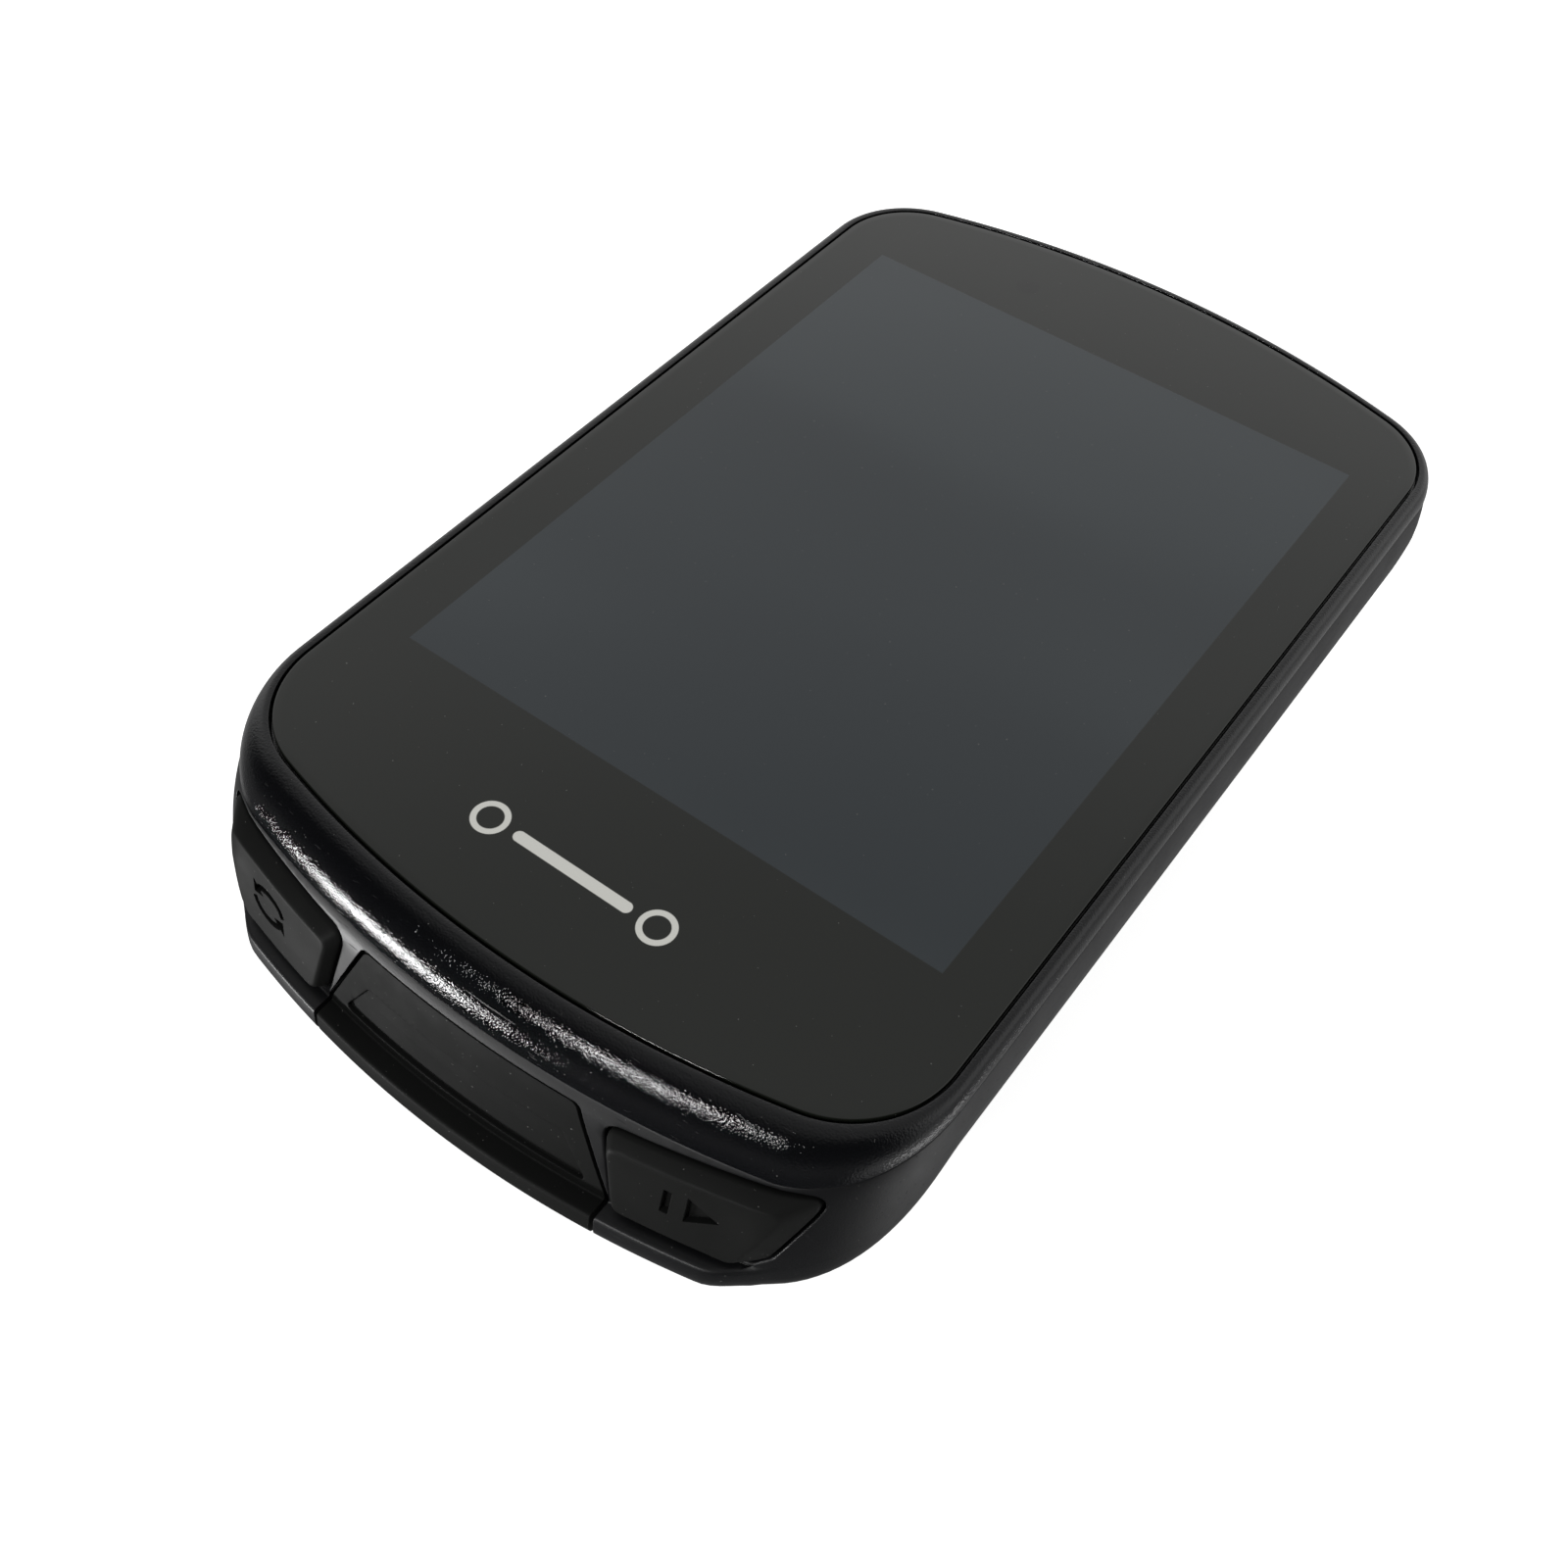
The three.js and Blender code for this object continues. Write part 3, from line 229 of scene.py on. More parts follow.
def ring(station):
    out, depth = station_at(station, EDGE, FACING)
    return np.column_stack([EDGE + FACING * out[:, None], TOP - depth])


def level(out, depth):
    """A ring with the same distance out and the same depth all round."""
    return ring({"side": (out, depth), "rider": (out, depth), "far": (out, depth)})


def hull_rings(widest, steps, flat, flat_depth):
    """Rings from the widest station down to a flat outline."""
    start = ring(widest)
    end, _ = outline(flat)
    rings = []
    for step in steps:
        inward, down = shares(step, FACING[:, 1])
        across = start[:, :2] + (end - start[:, :2]) * inward[:, None]
        rings.append(np.column_stack([across, start[:, 2] + (TOP - flat_depth - start[:, 2]) * down]))
    return rings


def stepped(here, there, reach):
    """Points moved from here towards there by a reach, and by half the way at most."""
    span = there - here
    length = np.linalg.norm(span, axis=1, keepdims=True)
    return here + span * np.minimum(0.5, reach / np.maximum(length, 1e-9))


def eased(rings, reaches=FREE, steps=4, loop=False):
    """Rings with each turn of the skin made a curve that starts up to its reach before the turn."""
    count = len(rings)
    if not isinstance(reaches, list):
        reaches = [reaches] * count
    result = [] if loop else [rings[0]]
    for k in range(0 if loop else 1, count if loop else count - 1):
        here = rings[k]
        start = stepped(here, rings[k - 1], reaches[k])
        end = stepped(here, rings[(k + 1) % count], reaches[k])
        for t in np.linspace(0, 1, steps + 1):
            made = (1 - t) ** 2 * start + 2 * t * (1 - t) * here + t * t * end
            if not result or not np.allclose(made, result[-1], atol=1e-6):
                result.append(made)
    if not loop:
        result.append(rings[-1])
    return result


def solid(name, rings, loop=False):
    """A closed mesh object over rings with the same number of points."""
    count = len(rings[0])
    points = list(np.vstack(rings))
    faces = []
    for r in range(len(rings) if loop else len(rings) - 1):
        low, high = r * count, (r + 1) % len(rings) * count
        faces += [(low + i, low + (i + 1) % count, high + (i + 1) % count, high + i) for i in range(count)]
    if not loop:
        for start in (0, (len(rings) - 1) * count):
            points.append(np.mean(points[start : start + count], axis=0))
            faces += [(len(points) - 1, start + i, start + (i + 1) % count) for i in range(count)]
    mesh = bpy.data.meshes.new(name)
    mesh.from_pydata([tuple(point * MM) for point in points], [], faces)
    build = bmesh.new()
    build.from_mesh(mesh)
    bmesh.ops.remove_doubles(build, verts=build.verts, dist=0.0005 * MM)
    bmesh.ops.recalc_face_normals(build, faces=build.faces)
    build.to_mesh(mesh)
    build.free()
    made = bpy.data.objects.new(name, mesh)
    bpy.context.scene.collection.objects.link(made)
    return made


def carve(piece, add=(), keep=(), cut=()):
    """Joins, keeps and takes away other solids, which are used up."""
    for operation, tools in (("UNION", add), ("INTERSECT", keep), ("DIFFERENCE", cut)):
        for tool in tools:
            step = piece.modifiers.new(operation, "BOOLEAN")
            step.operation = operation
            step.solver = "MANIFOLD"
            step.object = tool
    bpy.context.view_layer.update()
    mesh = bpy.data.meshes.new_from_object(piece.evaluated_get(bpy.context.evaluated_depsgraph_get()))
    mesh.name = piece.name
    piece.modifiers.clear()
    piece.data = mesh
    for tool in (*add, *keep, *cut):
        bpy.data.objects.remove(tool)
    return piece


def smooth(piece, angle=30):
    piece.data.shade_smooth()
    piece.data.set_sharp_from_angle(angle=math.radians(angle))
    return piece


def eased_outline(corners, radius, turn_steps=6, side_steps=10):
    """A closed outline with rounded corners, and points along its sides so that it can follow a curve."""
    corners = np.array(corners, float)
    turns = []
    for i, here in enumerate(corners):
        before, after = corners[i - 1] - here, corners[(i + 1) % len(corners)] - here
        lengths = np.linalg.norm(before), np.linalg.norm(after)
        a, b = before / lengths[0], after / lengths[1]
        half = math.acos(np.clip(a @ b, -1, 1)) / 2
        reach = min(radius / math.tan(half), lengths[0] * 0.45, lengths[1] * 0.45)
        turns.append((here + a * reach, here, here + b * reach))
    points = []
    for i, (start, here, end) in enumerate(turns):
        for t in np.linspace(0, 1, turn_steps + 1):
            points.append((1 - t) ** 2 * start + 2 * t * (1 - t) * here + t * t * end)
        onward = turns[(i + 1) % len(turns)][0]
        points += [end + (onward - end) * share for share in np.linspace(0, 1, side_steps + 1)[1:-1]]
    return np.array(points)


def inset(corners, distances):
    """Every side of a convex outline moved inwards by its own distance."""
    corners = np.array(corners, float)
    following = np.roll(corners, -1, axis=0)
    turn = np.sign(np.sum(corners[:, 0] * following[:, 1] - following[:, 0] * corners[:, 1]))
    along = (following - corners) / np.linalg.norm(following - corners, axis=1, keepdims=True)
    inward = np.column_stack([-along[:, 1], along[:, 0]]) * turn * np.resize(distances, len(corners))[:, None]
    start = corners + inward
    last_start, last_along = np.roll(start, 1, axis=0), np.roll(along, 1, axis=0)
    across = start - last_start
    cross = last_along[:, 0] * along[:, 1] - last_along[:, 1] * along[:, 0]
    step = (across[:, 0] * along[:, 1] - across[:, 1] * along[:, 0]) / cross
    return last_start + last_along * step[:, None]


def band_point(angle, depth):
    """The place on the key band in a direction round the outline, at a depth."""
    low_x, low_y, low_turn = corner_centre(GLASS["rider"], GLASS["half_width"], -1)
    apex, end_radius, corner_radius = GLASS["rider"]
    on_end = angle <= -low_turn
    facing = np.column_stack([np.cos(angle), np.sin(angle)])
    centre = np.where(on_end[:, None], (0, apex + end_radius), (low_x, low_y))
    edge = centre + facing * np.where(on_end, end_radius, corner_radius)[:, None]
    profile = [station_at(station, edge, facing) for station in REAR_SKIN[: LEDGE + 1]]
    out = profile[0][0]
    for k, ((out0, depth0), (out1, depth1)) in enumerate(zip(profile, profile[1:])):
        share = (depth - depth0) / (depth1 - depth0)
        out = np.where((share >= 0) | (k == 0), out0 + (out1 - out0) * share, out)
    return edge + facing * out[:, None]


def band_y(x, depth):
    """The Y of the key band's surface at a place in the view from the rider."""
    low, high = np.full(len(x), -math.pi / 2), np.full(len(x), -0.2)
    for _ in range(32):
        middle = (low + high) / 2
        short = band_point(middle, depth)[:, 0] < np.abs(x)
        low, high = np.where(short, middle, low), np.where(short, high, middle)
    return band_point(low, depth)[:, 1]


def laid(points, mirror, out):
    """Points of the view from the rider, laid on the band and moved out by a distance."""
    x, depth = points.T
    return np.column_stack([mirror * x, band_y(x, depth) - out, TOP - depth])


def band_ring(corners, radius, mirror, out, **steps):
    """An outline with rounded corners, laid on the key band."""
    return laid(eased_outline(corners, radius, **steps), mirror, out)


def drawn_in(corners, radius, mirror, out, nearest=0.02, **steps):
    """Rings from an outline in towards its middle, on the band's curve."""
    points = eased_outline(corners, radius, **steps)
    middle = points.mean(axis=0)
    return [laid(middle + (points - middle) * share, mirror, out) for share in np.linspace(0.9, nearest, 14)]


def front_prism(name, points, y0, y1):
    """A solid along Y from an outline in X and depth."""
    x, depth = points.T
    return solid(name, [np.column_stack([x, np.full(len(x), y), TOP - depth]) for y in (y0, y1)])


def block(name, x0, x1, y0, y1, top, bottom):
    corners = np.array([(x0, y0), (x1, y0), (x1, y1), (x0, y1)], float)
    return solid(name, [np.column_stack([corners, np.full(4, TOP - depth)]) for depth in (top, bottom)])


def turned(name, x, y, profile, sides=64, reach=0.0):
    """A turned solid about a line along Z: the profile is radius and depth."""
    angles = np.linspace(0, 2 * math.pi, sides, endpoint=False)
    circle = np.column_stack([np.cos(angles), np.sin(angles)])
    rings = []
    for radius, depth in profile:
        rings.append(np.column_stack([circle * radius + (x, y), np.full(sides, TOP - depth)]))
    return solid(name, eased(rings, reach) if reach else rings)


# ---------------------------------------------------------------- the shells
OUTER = [*map(ring, REAR_SKIN), *hull_rings(REAR_SKIN[-1], HULL_STEPS, BACK, BACK_DEPTH)]
INNER = [*map(ring, REAR_INSIDE), *hull_rings(REAR_INSIDE[-1], CAVITY_STEPS, CAVITY_FLOOR, CAVITY_DEPTH)]
OUTER_REACHES = [0.06, FREE, FREE, FREE, 0.12, 0.28, FREE] + [FREE] * (len(HULL_STEPS) - 1) + [BACK_REACH]


def bowl(name):
    """The lower shell without openings: the outside of the hull, the rim and the cavity."""
    rings = OUTER[::-1] + INNER
    reaches = OUTER_REACHES[::-1] + [0.06] + [FREE] * (len(INNER) - 1)
    return solid(name, eased(rings, reaches))


def front_housing():
    """The upper shell: a closed loop of rings round the rim, the shoulder and the glass seat."""
    rings = [ring(station) for station in FRONT_SKIN + FRONT_INSIDE]
    reaches = [0.05, 0.12, FREE, FREE, FREE, FREE, 0.07] + [0.05] * len(FRONT_INSIDE)
    return smooth(solid("front_housing_skin", eased(rings, reaches, loop=True), loop=True))


def lip(radius):
    """Steps round the rounded edge of an opening: how far its side stands back, and how far out."""
    angles = np.linspace(math.pi / 2, 0, 5)
    return [(radius - radius * math.cos(angle), -radius + radius * math.sin(angle)) for angle in angles]


def key_opening(mirror):
    """The cutter for a key's opening in the band, with a rounded edge."""
    edge = KEY_OPENING["edge"]
    rings = []
    for back, out in [(edge, KEY_OPENING["front"]), *lip(edge), (0.0, KEY_OPENING["back"])]:
        grown = inset(KEY_CORNERS, -(KEY["gap"] + back))
        rings.append(band_ring(grown, KEY["corner_radius"] + KEY["gap"] + back, mirror, out))
    return solid("key_opening", rings)


def flap_outline(grow, low_depth):
    """The flap's outline in the view from the rider, grown or drawn in, down to a depth."""
    top_half, kink_half = FLAP["top_half"] + grow, FLAP["kink_half"] + grow
    top_depth = FLAP["top_depth"] - FLAP["top_grow"] * grow
    corners = [
        (-top_half, top_depth), (top_half, top_depth),
        (kink_half, FLAP["kink_depth"]), (kink_half, low_depth),
        (-kink_half, low_depth), (-kink_half, FLAP["kink_depth"]),
    ]
    return eased_outline(corners, FLAP["corner_radius"])


def power_outline(grow):
    """The power key's outline in Y and depth, with round ends, grown or drawn in."""
    low, high = POWER_LOW, POWER_HIGH
    top, bottom = TOP - high[2], TOP - low[2]
    corners = [
        (low[1] - grow, top - grow), (high[1] + grow, top - grow),
        (high[1] + grow, bottom + grow), (low[1] - grow, bottom + grow),
    ]
    return eased_outline(corners, (bottom - top) / 2 + grow, turn_steps=12)


def side_ring(x, points):
    """A ring across X from an outline in Y and depth."""
    return np.column_stack([np.full(len(points), x), points[:, 0], TOP - points[:, 1]])


def mount_screw_places():
    for degrees in (45, 135, 225, 315):
        angle = math.radians(degrees)
        yield MOUNT_SCREW["ring"] * math.cos(angle), MOUNT_SCREW["ring"] * math.sin(angle)


def case_screw_post(x, y):
    """A post inside the rear cover, which ends where the hull does."""
    hull = solid("hull", eased(OUTER, OUTER_REACHES))
    cylinder = turned("post", x, y, [(POST["radius"], POST["top_depth"]), (POST["radius"], PAST_BACK)])
    return carve(hull, keep=[cylinder])


def case_screw_hole(x, y):
    """Cutters for a screw's shank and for its head."""
    shank, head = CASE_SCREW["hole_radius"], CASE_SCREW["seat_radius"]
    return [
        turned("shank_hole", x, y, [(shank, POST["top_depth"] - PAST), (shank, PAST_BACK)]),
        turned("head_hole", x, y, [(head, CASE_SCREW["seat_depth"]), (head, PAST_BACK)]),
    ]


def back_hole(name, x, y, radius, reach):
    """A cutter through the wall of the back, which starts some way above the cavity's floor."""
    return turned(name, x, y, [(radius, CAVITY_DEPTH - reach), (radius, BACK_DEPTH + PAST)])


def power_opening():
    """The cutter for the power key's opening."""
    edge = power_outline(POWER_OPENING["gap"])
    return solid("power_opening", [side_ring(POWER_OPENING[end], edge) for end in ("outer_x", "inner_x")])


def usb_pocket():
    """The block that the USB pocket is cut into, and the cutter for the pocket."""
    outside, inside = POCKET_BLOCK, POCKET
    wall = block("pocket_block", -outside["half_width"], outside["half_width"],
                 inside["front_y"], inside["back_y"], outside["top"], outside["bottom"])
    hollow = block("pocket", -inside["half_width"], inside["half_width"],
                   inside["cut_from_y"], inside["back_y"] + PAST, inside["top"], inside["bottom"])
    return wall, hollow


def rear_cover():
    pocket_block, pocket = usb_pocket()
    flap_opening = front_prism("flap_opening", flap_outline(FLAP["gap"], PAST_BACK),
                               PAST_END, FLAP["back_y"] + 2 * FLAP["gap"])
    posts = [case_screw_post(x, y) for x, y in CASE_SCREW_PLACES]
    case_holes = [hole for x, y in CASE_SCREW_PLACES for hole in case_screw_hole(x, y)]
    mount_holes = [
        back_hole("mount_hole", x, y, MOUNT_SCREW["hole_radius"], PAST / 2) for x, y in mount_screw_places()
    ]
    vent = back_hole("vent", VENT["x"], VENT["y"], VENT["radius"], VENT["reach"])
    shell = carve(bowl("rear_cover_skin"), cut=[flap_opening])
    carve(shell, add=[pocket_block, *posts])
    openings = [key_opening(1), key_opening(-1), pocket, power_opening()]
    carve(shell, cut=[*openings, vent, *case_holes, *mount_holes])
    return smooth(shell)


def flap_recess():
    """The cutter for the shallow field in the flap's face."""
    edge, corner = 0.05, FLAP_RECESS_CORNER
    rings = []
    for back, out in [(edge, 1.5), *lip(edge), (0.0, -FLAP_RECESS_SUNK)]:
        rings.append(band_ring(inset(FLAP_RECESS, -back), corner + back, 1, out, side_steps=30))
    rings += drawn_in(FLAP_RECESS, corner, 1, -FLAP_RECESS_SUNK, side_steps=30)
    return solid("flap_recess", rings)


def flap_seal():
    """The hollow plug behind the flap, which closes the pocket."""
    half = POCKET["half_width"] - FLAP_SEAL["inset"]
    top, bottom = POCKET["top"] + FLAP_SEAL["inset"], POCKET["bottom"] - FLAP_SEAL["inset"]
    wall = FLAP_SEAL["wall"]
    inner = half - wall
    plug = block("seal", -half, half, FLAP_SEAL["front_y"], FLAP_SEAL["reach_y"], top, bottom)
    hollow = block("seal_hollow", -inner, inner, *FLAP_SEAL["hollow_y"], top + wall, bottom - wall)
    return carve(plug, cut=[hollow])


def usb_flap():
    prism = front_prism("flap_prism", flap_outline(-FLAP["gap"], PAST_BACK), PAST_END, FLAP["back_y"])
    flap = carve(bowl("usb_flap_skin"), keep=[prism])
    carve(flap, add=[flap_seal()])
    carve(flap, cut=[flap_recess()])
    return smooth(flap)


# ---------------------------------------------------------------- keys and glass
def sign_cutter(points, mirror, proud):
    """A cutter for one engraved stroke, from its closed outline in the view from the rider."""
    return solid("sign", [laid(points, mirror, proud + ENGRAVING[end]) for end in ("front", "bottom")])


def stroke_path(points, width):
    """The outline of a pen stroke of some width along a path."""
    points = np.array(points, float)
    tangent = np.gradient(points, axis=0)
    tangent /= np.linalg.norm(tangent, axis=1, keepdims=True)
    sideways = np.column_stack([-tangent[:, 1], tangent[:, 0]]) * width / 2
    return np.vstack([points + sideways, (points - sideways)[::-1]])


def end_key(name, mirror, signs):
    """A key of the rider's end: a flange behind the band, a stem and a face with engraved signs."""
    radius, limit = KEY["corner_radius"], KEY_FLANGE_LIMIT
    face, face_radius = inset(KEY_CORNERS, KEY_CHAMFERS), radius * 0.8
    flange = []
    for x, depth in KEY_CORNERS:
        aside = min(x + KEY["flange"] * np.sign(x - SWITCH_X), limit["x"])
        flange.append((aside, min(max(depth, limit["top"]), limit["bottom"])))
    root = [(x, max(depth, limit["top"])) for x, depth in KEY_CORNERS]
    rings = [
        band_ring(flange, radius, mirror, -KEY["root"] - KEY["flange_thick"]),
        band_ring(flange, radius, mirror, -KEY["root"]),
        band_ring(root, radius, mirror, -KEY["root"]),
        band_ring(KEY_CORNERS, radius, mirror, 0),
        band_ring(face, face_radius, mirror, KEY["proud"]),
    ]
    inner = drawn_in(face, face_radius, mirror, KEY["proud"])
    rings = eased([*rings, inner[0]], [0, 0.02, 0.05, 0.2, 0.22, 0], steps=5) + inner[1:]
    key = solid(name, rings)
    return smooth(carve(key, cut=[sign_cutter(sign, mirror, KEY["proud"]) for sign in signs]), angle=26)


def oval(spread, degrees):
    """Points round the loop sign's oval, which is wider than it is tall."""
    angles, sign = np.radians(degrees), LOOP_SIGN
    x = sign["x"] + sign["half_width"] * spread * np.cos(angles)
    depth = sign["depth"] + sign["half_height"] * spread * np.sin(angles)
    return np.column_stack([x, depth])


def lap_signs():
    """A loop of two half turns, each with an arrow head."""
    signs = []
    for turn in (0, 180):
        signs.append(stroke_path(oval(1, np.linspace(turn + 15, turn + 140, 18)), LOOP_SIGN["stroke"]))
        signs.append(np.vstack([oval(1.5, [turn + 138]), oval(0.5, [turn + 138]), oval(1, [turn + 178])]))
    return signs


def start_stop_signs():
    """A bar and a triangle."""
    bar = [(14.05, 5.6), (14.55, 5.6), (14.55, 7.4), (14.05, 7.4)]
    triangle = [(15.45, 5.4), (17.4, 6.4), (15.45, 7.4)]
    return [np.array(bar), np.array(triangle)]


def power_key():
    """A key with chamfered edges and a shallow dish in its face."""
    face_x, chamfer, dish = POWER_LOW[0], 0.35, 0.12
    sections = [
        (POWER_HIGH[0], 0), (face_x + chamfer, 0), (face_x, -chamfer), (face_x, -0.9), (face_x + dish, -1.3),
    ]
    rings = [side_ring(x, power_outline(grow)) for x, grow in sections]
    return smooth(solid("power_button_skin", eased(rings, [0, 0.15, 0.15, 0.2, 0], steps=5)))


def cover_glass():
    rings = [level(-0.6, 0), level(0, 0), level(0, GLASS_THICK)]
    return smooth(solid("cover_glass_skin", eased(rings, 0.11, steps=4)))


def mount_tab(facing):
    """A wedge of the quarter-turn foot, about the mount's middle."""
    half = math.radians(MOUNT["tab_half_degrees"])
    angles = np.linspace(facing - half, facing + half, 24)
    arc = MOUNT_RADIUS * np.column_stack([np.cos(angles), np.sin(angles)])
    shape = np.vstack([(0.0, 0.0), arc])
    rings = []
    for share, z in [(1, MOUNT["tab_thick"]), (1, 0.0), (0.9, 0.0)]:
        rings.append(np.column_stack([shape * share, np.full(len(shape), z)]))
    return solid("tab", eased(rings, 0.25))


def mount_screw_seat(x, y):
    """Cutters for a screw's sunk head, with a sloped rim, and for its shank."""
    head, rim, slope = MOUNT_SCREW["seat_radius"], MOUNT_SCREW["rim_radius"], MOUNT_SCREW["rim_slope"]
    hole = MOUNT_SCREW["hole_radius"]
    seat = [(head, TOP - MOUNT_SCREW["sunk"]), (head, TOP - slope), (rim, TOP + slope), (rim, TOP + PAST)]
    return [
        turned("seat", x, y, seat),
        turned("hole", x, y, [(hole, BACK_DEPTH - PAST), (hole, TOP + PAST)]),
    ]


def mount_insert():
    """A round foot on a wider plate, with two tabs for the quarter turn."""
    core, top_depth = MOUNT["core_radius"], MOUNT["top_depth"]
    plate_profile = [(MOUNT_RADIUS, top_depth), (MOUNT_RADIUS, MOUNT["plate_bottom"])]
    foot_profile = [(core, top_depth), (core, TOP), (core - MOUNT["rim_width"], TOP)]
    plate = turned("plate", 0, 0, plate_profile, sides=120)
    body = turned("mount_insert_skin", 0, 0, foot_profile, sides=120, reach=0.3)
    seats = [cutter for x, y in mount_screw_places() for cutter in mount_screw_seat(x, y)]
    carve(body, add=[plate, mount_tab(0), mount_tab(math.pi)])
    return smooth(carve(body, cut=seats))


def screw(node):
    """A turned pan head with a six-lobed drive, on the CAD screw's axis."""
    low, high = limits(node)
    x, y = (low[:2] + high[:2]) / 2
    radius = (high[0] - low[0]) / 2
    tip, head = TOP - high[2], TOP - low[2]
    shank, shoulder = SCREW["shank_radius"], head - SCREW["head_thick"]
    profile = [
        (SCREW["tip_radius"], tip), (shank, tip + SCREW["tip_length"]), (shank, shoulder), (radius, shoulder),
        (radius, head - 0.35), (radius - 0.3, head), (radius * 0.62, head),
    ]
    body = turned(node + "_skin", x, y, profile, sides=48, reach=0.12)
    angles = np.linspace(0, 2 * math.pi, 72, endpoint=False)
    lobes = radius * (0.42 + 0.07 * np.cos(6 * angles))
    star = np.column_stack([x + lobes * np.cos(angles), y + lobes * np.sin(angles)])
    rings = []
    for depth in (head - SCREW["drive_depth"], head + PAST):
        rings.append(np.column_stack([star, np.full(len(star), TOP - depth)]))
    return smooth(carve(body, cut=[solid("drive", rings)]))


# ---------------------------------------------------------------- materials
class Material:
    """A node material with its Principled shader, and coordinates in millimetres."""

    def __init__(self, name, colour, roughness, **sockets):
        self.made = bpy.data.materials.new(name)
        self.made.use_nodes = True
        self.tree = self.made.node_tree
        self.shader = self.tree.nodes["Principled BSDF"]
        self.shader.inputs["Base Color"].default_value = (*colour, 1)
        self.shader.inputs["Roughness"].default_value = roughness
        for key, value in sockets.items():
            self.shader.inputs[key].default_value = value
        spot = self.node("TexCoord").outputs["Object"]
        self.place = self.node("Mapping", {"Vector": spot, "Scale": (1000, 1000, 1000)}).outputs[0]

    def fill(self, socket, value):
        """Links a node's output to a socket, or sets the socket to a plain value."""
        if isinstance(value, bpy.types.NodeSocket):
            self.tree.links.new(value, socket)
        else:
            socket.default_value = value

    def node(self, kind, inputs=None, **settings):
        made = self.tree.nodes.new("ShaderNode" + kind)
        for key, value in settings.items():
            setattr(made, key, value)
        for key, value in (inputs or {}).items():
            self.fill(made.inputs[key], value)
        return made

    def link(self, output, socket):
        self.tree.links.new(output, self.shader.inputs[socket])

    def math(self, operation, *values):
        made = self.node("Math", operation=operation)
        for k, value in enumerate(values):
            self.fill(made.inputs[k], value)
        return made.outputs[0]

    def distance(self, across, up):
        squares = [self.math("MULTIPLY", value, value) for value in (across, up)]
        return self.math("SQRT", self.math("ADD", *squares))

    def spread(self, value, low, high, to_low=0.0, to_high=1.0):
        """Maps a value from one range to another, held at the ends."""
        inputs = {"Value": value, "From Min": low, "From Max": high, "To Min": to_low, "To Max": to_high}
        return self.node("MapRange", inputs, interpolation_type="SMOOTHSTEP").outputs[0]

    def noise(self, per_mm, detail=2.0, stretch=(1, 1, 1), turn=0.0):
        inputs = {"Vector": self.place, "Scale": stretch, "Rotation": (0.3 * turn, 0.2 * turn, turn)}
        spot = self.node("Mapping", inputs).outputs[0]
        return self.node("TexNoise", {"Vector": spot, "Scale": per_mm, "Detail": detail}).outputs[0]

    def mix(self, share, low, high):
        """Blends two colours, each a plain colour or the output of a node."""
        made = self.node("Mix", data_type="RGBA")
        for key, value in ((0, share), (6, low), (7, high)):
            self.fill(made.inputs[key], (*value, 1) if isinstance(value, tuple) else value)
        return made.outputs[2]

    def bump(self, height, depth_mm, normal=None):
        inputs = {"Height": height, "Distance": depth_mm * MM, "Strength": 1.0}
        if normal is not None:
            inputs["Normal"] = normal
        return self.node("Bump", inputs).outputs[0]

    def specks(self, per_mm, rarity):
        """A mask of sparse dust specks."""
        return self.spread(self.noise(per_mm, 1.0), rarity, rarity + 0.02)

    def scratches(self, turn, rarity):
        """A mask of fine scratches in one direction."""
        return self.spread(self.noise(2.2, 2.0, (0.04, 2.4, 2.4), turn), rarity, rarity + 0.03)


def gloss_shell(name, shine, grain):
    """Black plastic with fine orange peel, thin scratches and a little dust."""
    black, dust_grey = (0.0025, 0.0027, 0.0034), (0.16, 0.16, 0.15)
    look = Material(name, black, shine, IOR=1.45)
    dust = look.specks(5.5, 0.78)
    lines = look.math("MAXIMUM", look.scratches(0.6, 0.70), look.scratches(-0.9, 0.72))
    smear = look.spread(look.noise(0.35, 3.0), 0.35, 0.7, 0.95 * shine, 1.07 * shine)
    rough = look.math("ADD", smear, look.math("MULTIPLY", look.math("MAXIMUM", dust, lines), 0.3))
    look.link(rough, "Roughness")
    look.link(look.mix(look.math("MULTIPLY", dust, 0.6), black, dust_grey), "Base Color")
    round_edge = look.node("Bevel", {"Radius": 0.07 * MM}, samples=4).outputs[0]
    peel = look.bump(look.noise(8.0, 2.0), grain, round_edge)
    look.link(look.bump(look.math("ADD", lines, dust), -0.002, peel), "Normal")
    return look.made


def satin_rubber(name, colour, roughness, grain):
    """Dull soft plastic with a fine grain, soft edges and a little dust."""
    look = Material(name, colour, roughness, IOR=1.18)
    dust = look.specks(6.0, 0.77)
    look.link(look.mix(look.math("MULTIPLY", dust, 0.5), colour, (0.22, 0.22, 0.21)), "Base Color")
    look.link(look.spread(look.noise(0.5, 3.0), 0.3, 0.7, roughness - 0.03, roughness + 0.04), "Roughness")
    round_edge = look.node("Bevel", {"Radius": 0.06 * MM}, samples=4).outputs[0]
    look.link(look.bump(look.noise(11.0, 3.0), grain, round_edge), "Normal")
    return look.made


